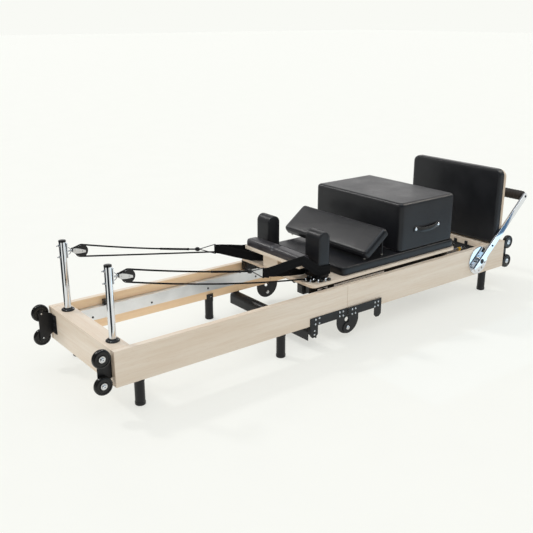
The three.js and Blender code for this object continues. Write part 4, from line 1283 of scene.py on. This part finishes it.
def world_light():
    """A bright overhead tent, darker near the horizon and towards the camera."""
    world = bpy.data.worlds.new("studio")
    bpy.context.scene.world = world
    world.use_nodes = True
    tree = world.node_tree
    tree.nodes.clear()
    direction = add_node(tree, "TexCoord").outputs["Generated"]
    _, y, z = add_node(tree, "SeparateXYZ", {0: direction}).outputs
    up = math_node(tree, "MAXIMUM", z, 0.0)
    base = math_node(tree, "ADD", 0.56, math_node(tree, "MULTIPLY", up, 0.55))
    back = math_node(tree, "ADD", 1.0, math_node(tree, "MULTIPLY", y, 0.25))
    diffuse = math_node(tree, "MULTIPLY", base, back)
    far_side = spread(tree, y, 0, 1, -0.55, 0.25)
    steep = spread(tree, z, 1.0, 0.26, 0.36, 0.66)
    sides = mix_values(tree, far_side, 0.46, 1.1)
    softbox = spread(tree, z, 0.0, 3.2, 0.86, 0.92)
    glossy_level = math_node(tree, "ADD", math_node(tree, "MULTIPLY", sides, steep), softbox)
    ray = add_node(tree, "LightPath")
    glossy = ray.outputs["Is Glossy Ray"]
    strength = mix_values(tree, glossy, diffuse, glossy_level)
    cool = mix_colours(tree, far_side, (0.62, 0.82, 1.0, 1), (1.0, 0.99, 0.98, 1))
    colour = mix_colours(tree, glossy, (1.0, 1.0, 0.99, 1), cool)
    lit = add_node(tree, "Background", {"Color": colour, "Strength": strength})
    seen = add_node(tree, "Background", {"Color": (0.947, 0.956, 0.913, 1), "Strength": 1.0})
    inputs = {0: ray.outputs["Is Camera Ray"], 1: lit.outputs[0], 2: seen.outputs[0]}
    chosen = add_node(tree, "MixShader", inputs).outputs[0]
    add_node(tree, "OutputWorld", {"Surface": chosen})


def sun_light():
    data = bpy.data.lights.new("key", "SUN")
    data.energy = 0.70
    data.angle = math.radians(6)
    data.color = (1.0, 0.985, 0.96)
    aim(linked("key", data), (0.43, -1, -1), "-Z")


def studio_floor():
    material, tree, shader = new_surface("studio_floor", (0.37, 0.37, 0.36), 0.85, Specular_IOR_Level=0.1)
    shader.inputs["Emission Color"].default_value = (0.99, 1.0, 0.955, 1)
    shader.inputs["Emission Strength"].default_value = 0.555
    mottle = object_noise(tree, (3, 3, 3), detail=2)
    tint(tree, shader, spread(tree, mottle, 0, 1), (0.366, 0.37, 0.354), (0.374, 0.378, 0.362))
    stage_sheet("studio_floor", 120000, 120000, material)


def reflection_card(name, middle, facing, width, height, colour, strength=1.0):
    """A card that only shows in reflections, as the dark, bright and tinted flags of a studio do."""
    material = bpy.data.materials.new(name)
    material.use_nodes = True
    tree = material.node_tree
    tree.nodes.clear()
    glow = add_node(tree, "Emission", {"Color": (*colour, 1), "Strength": strength})
    add_node(tree, "OutputMaterial", {"Surface": glow.outputs[0]})
    card = stage_sheet(name, width, height, material)
    card.location = packed(*middle)
    aim(card, facing, "Z")
    for ray in ("camera", "diffuse", "shadow", "transmission"):
        setattr(card, f"visible_{ray}", False)


def reflection_cards():
    """Dark flags for the chrome, a bright softbox, and tinted cards for the sheen of the near sides."""
    dark = (0.03, 0.035, 0.04)
    reflection_card("flag_left", (-1828, 690, 620), (0.64, -0.77, 0), 2100, 1240, dark)
    reflection_card("flag_front", (-1700, -850, 620), (0.5, 0.87, 0), 820, 1240, dark)
    reflection_card("tinted_panel", (1900, -900, 300), (-0.4, 1, 0), 260, 420, (0.10, 0.20, 0.34))
    reflection_card("softbox", (2270, -1010, 2300), (-0.66, 0.29, -0.68), 1500, 1100, (1.0, 0.93, 0.84), 7.0)
    reflection_card("cool_panel", (1100, -880, 6), (0, 0, 1), 2600, 420, (0.95, 1.30, 1.55), 1.15)
    reflection_card("dark_panel", (1450, -1480, 7), (0, 0, 1), 2200, 620, (0.50, 0.50, 0.52), 1.0)


def camera():
    """Stands at the left of the near side, a little above the bed, and looks down along it."""
    data = bpy.data.cameras.new("camera")
    data.lens = 51.28
    data.sensor_width = 36
    made = linked("camera", data)
    yaw, pitch = math.radians(52.095), math.radians(-18.37)
    made.location = packed(-2532, -2914, 1573)
    level = math.cos(pitch)
    aim(made, (level * math.cos(yaw), level * math.sin(yaw), math.sin(pitch)), "-Z")
    bpy.context.scene.camera = made
    bpy.context.scene.view_settings.view_transform = "Standard"


def on_both_sides(*makers):
    for make in makers:
        for side, s in SIDES:
            make(side, s)


camera()
world_light()
sun_light()
studio_floor()
reflection_cards()
on_both_sides(rails)
end_beams()
on_both_sides(tracks, legs, hinge_plates)
lift_bar()
on_both_sides(wheels, riser_posts, pulley_blocks, ropes)
carriage_deck()
on_both_sides(cleat_sets)
undercarriage()
wheel_sets()
springs()
spring_bar()
on_both_sides(shoulder_rests)
headrest()
carriage_pad()
sitting_box()
incline_pad()
foot_bar()
on_both_sides(quadrants)
jump_board()
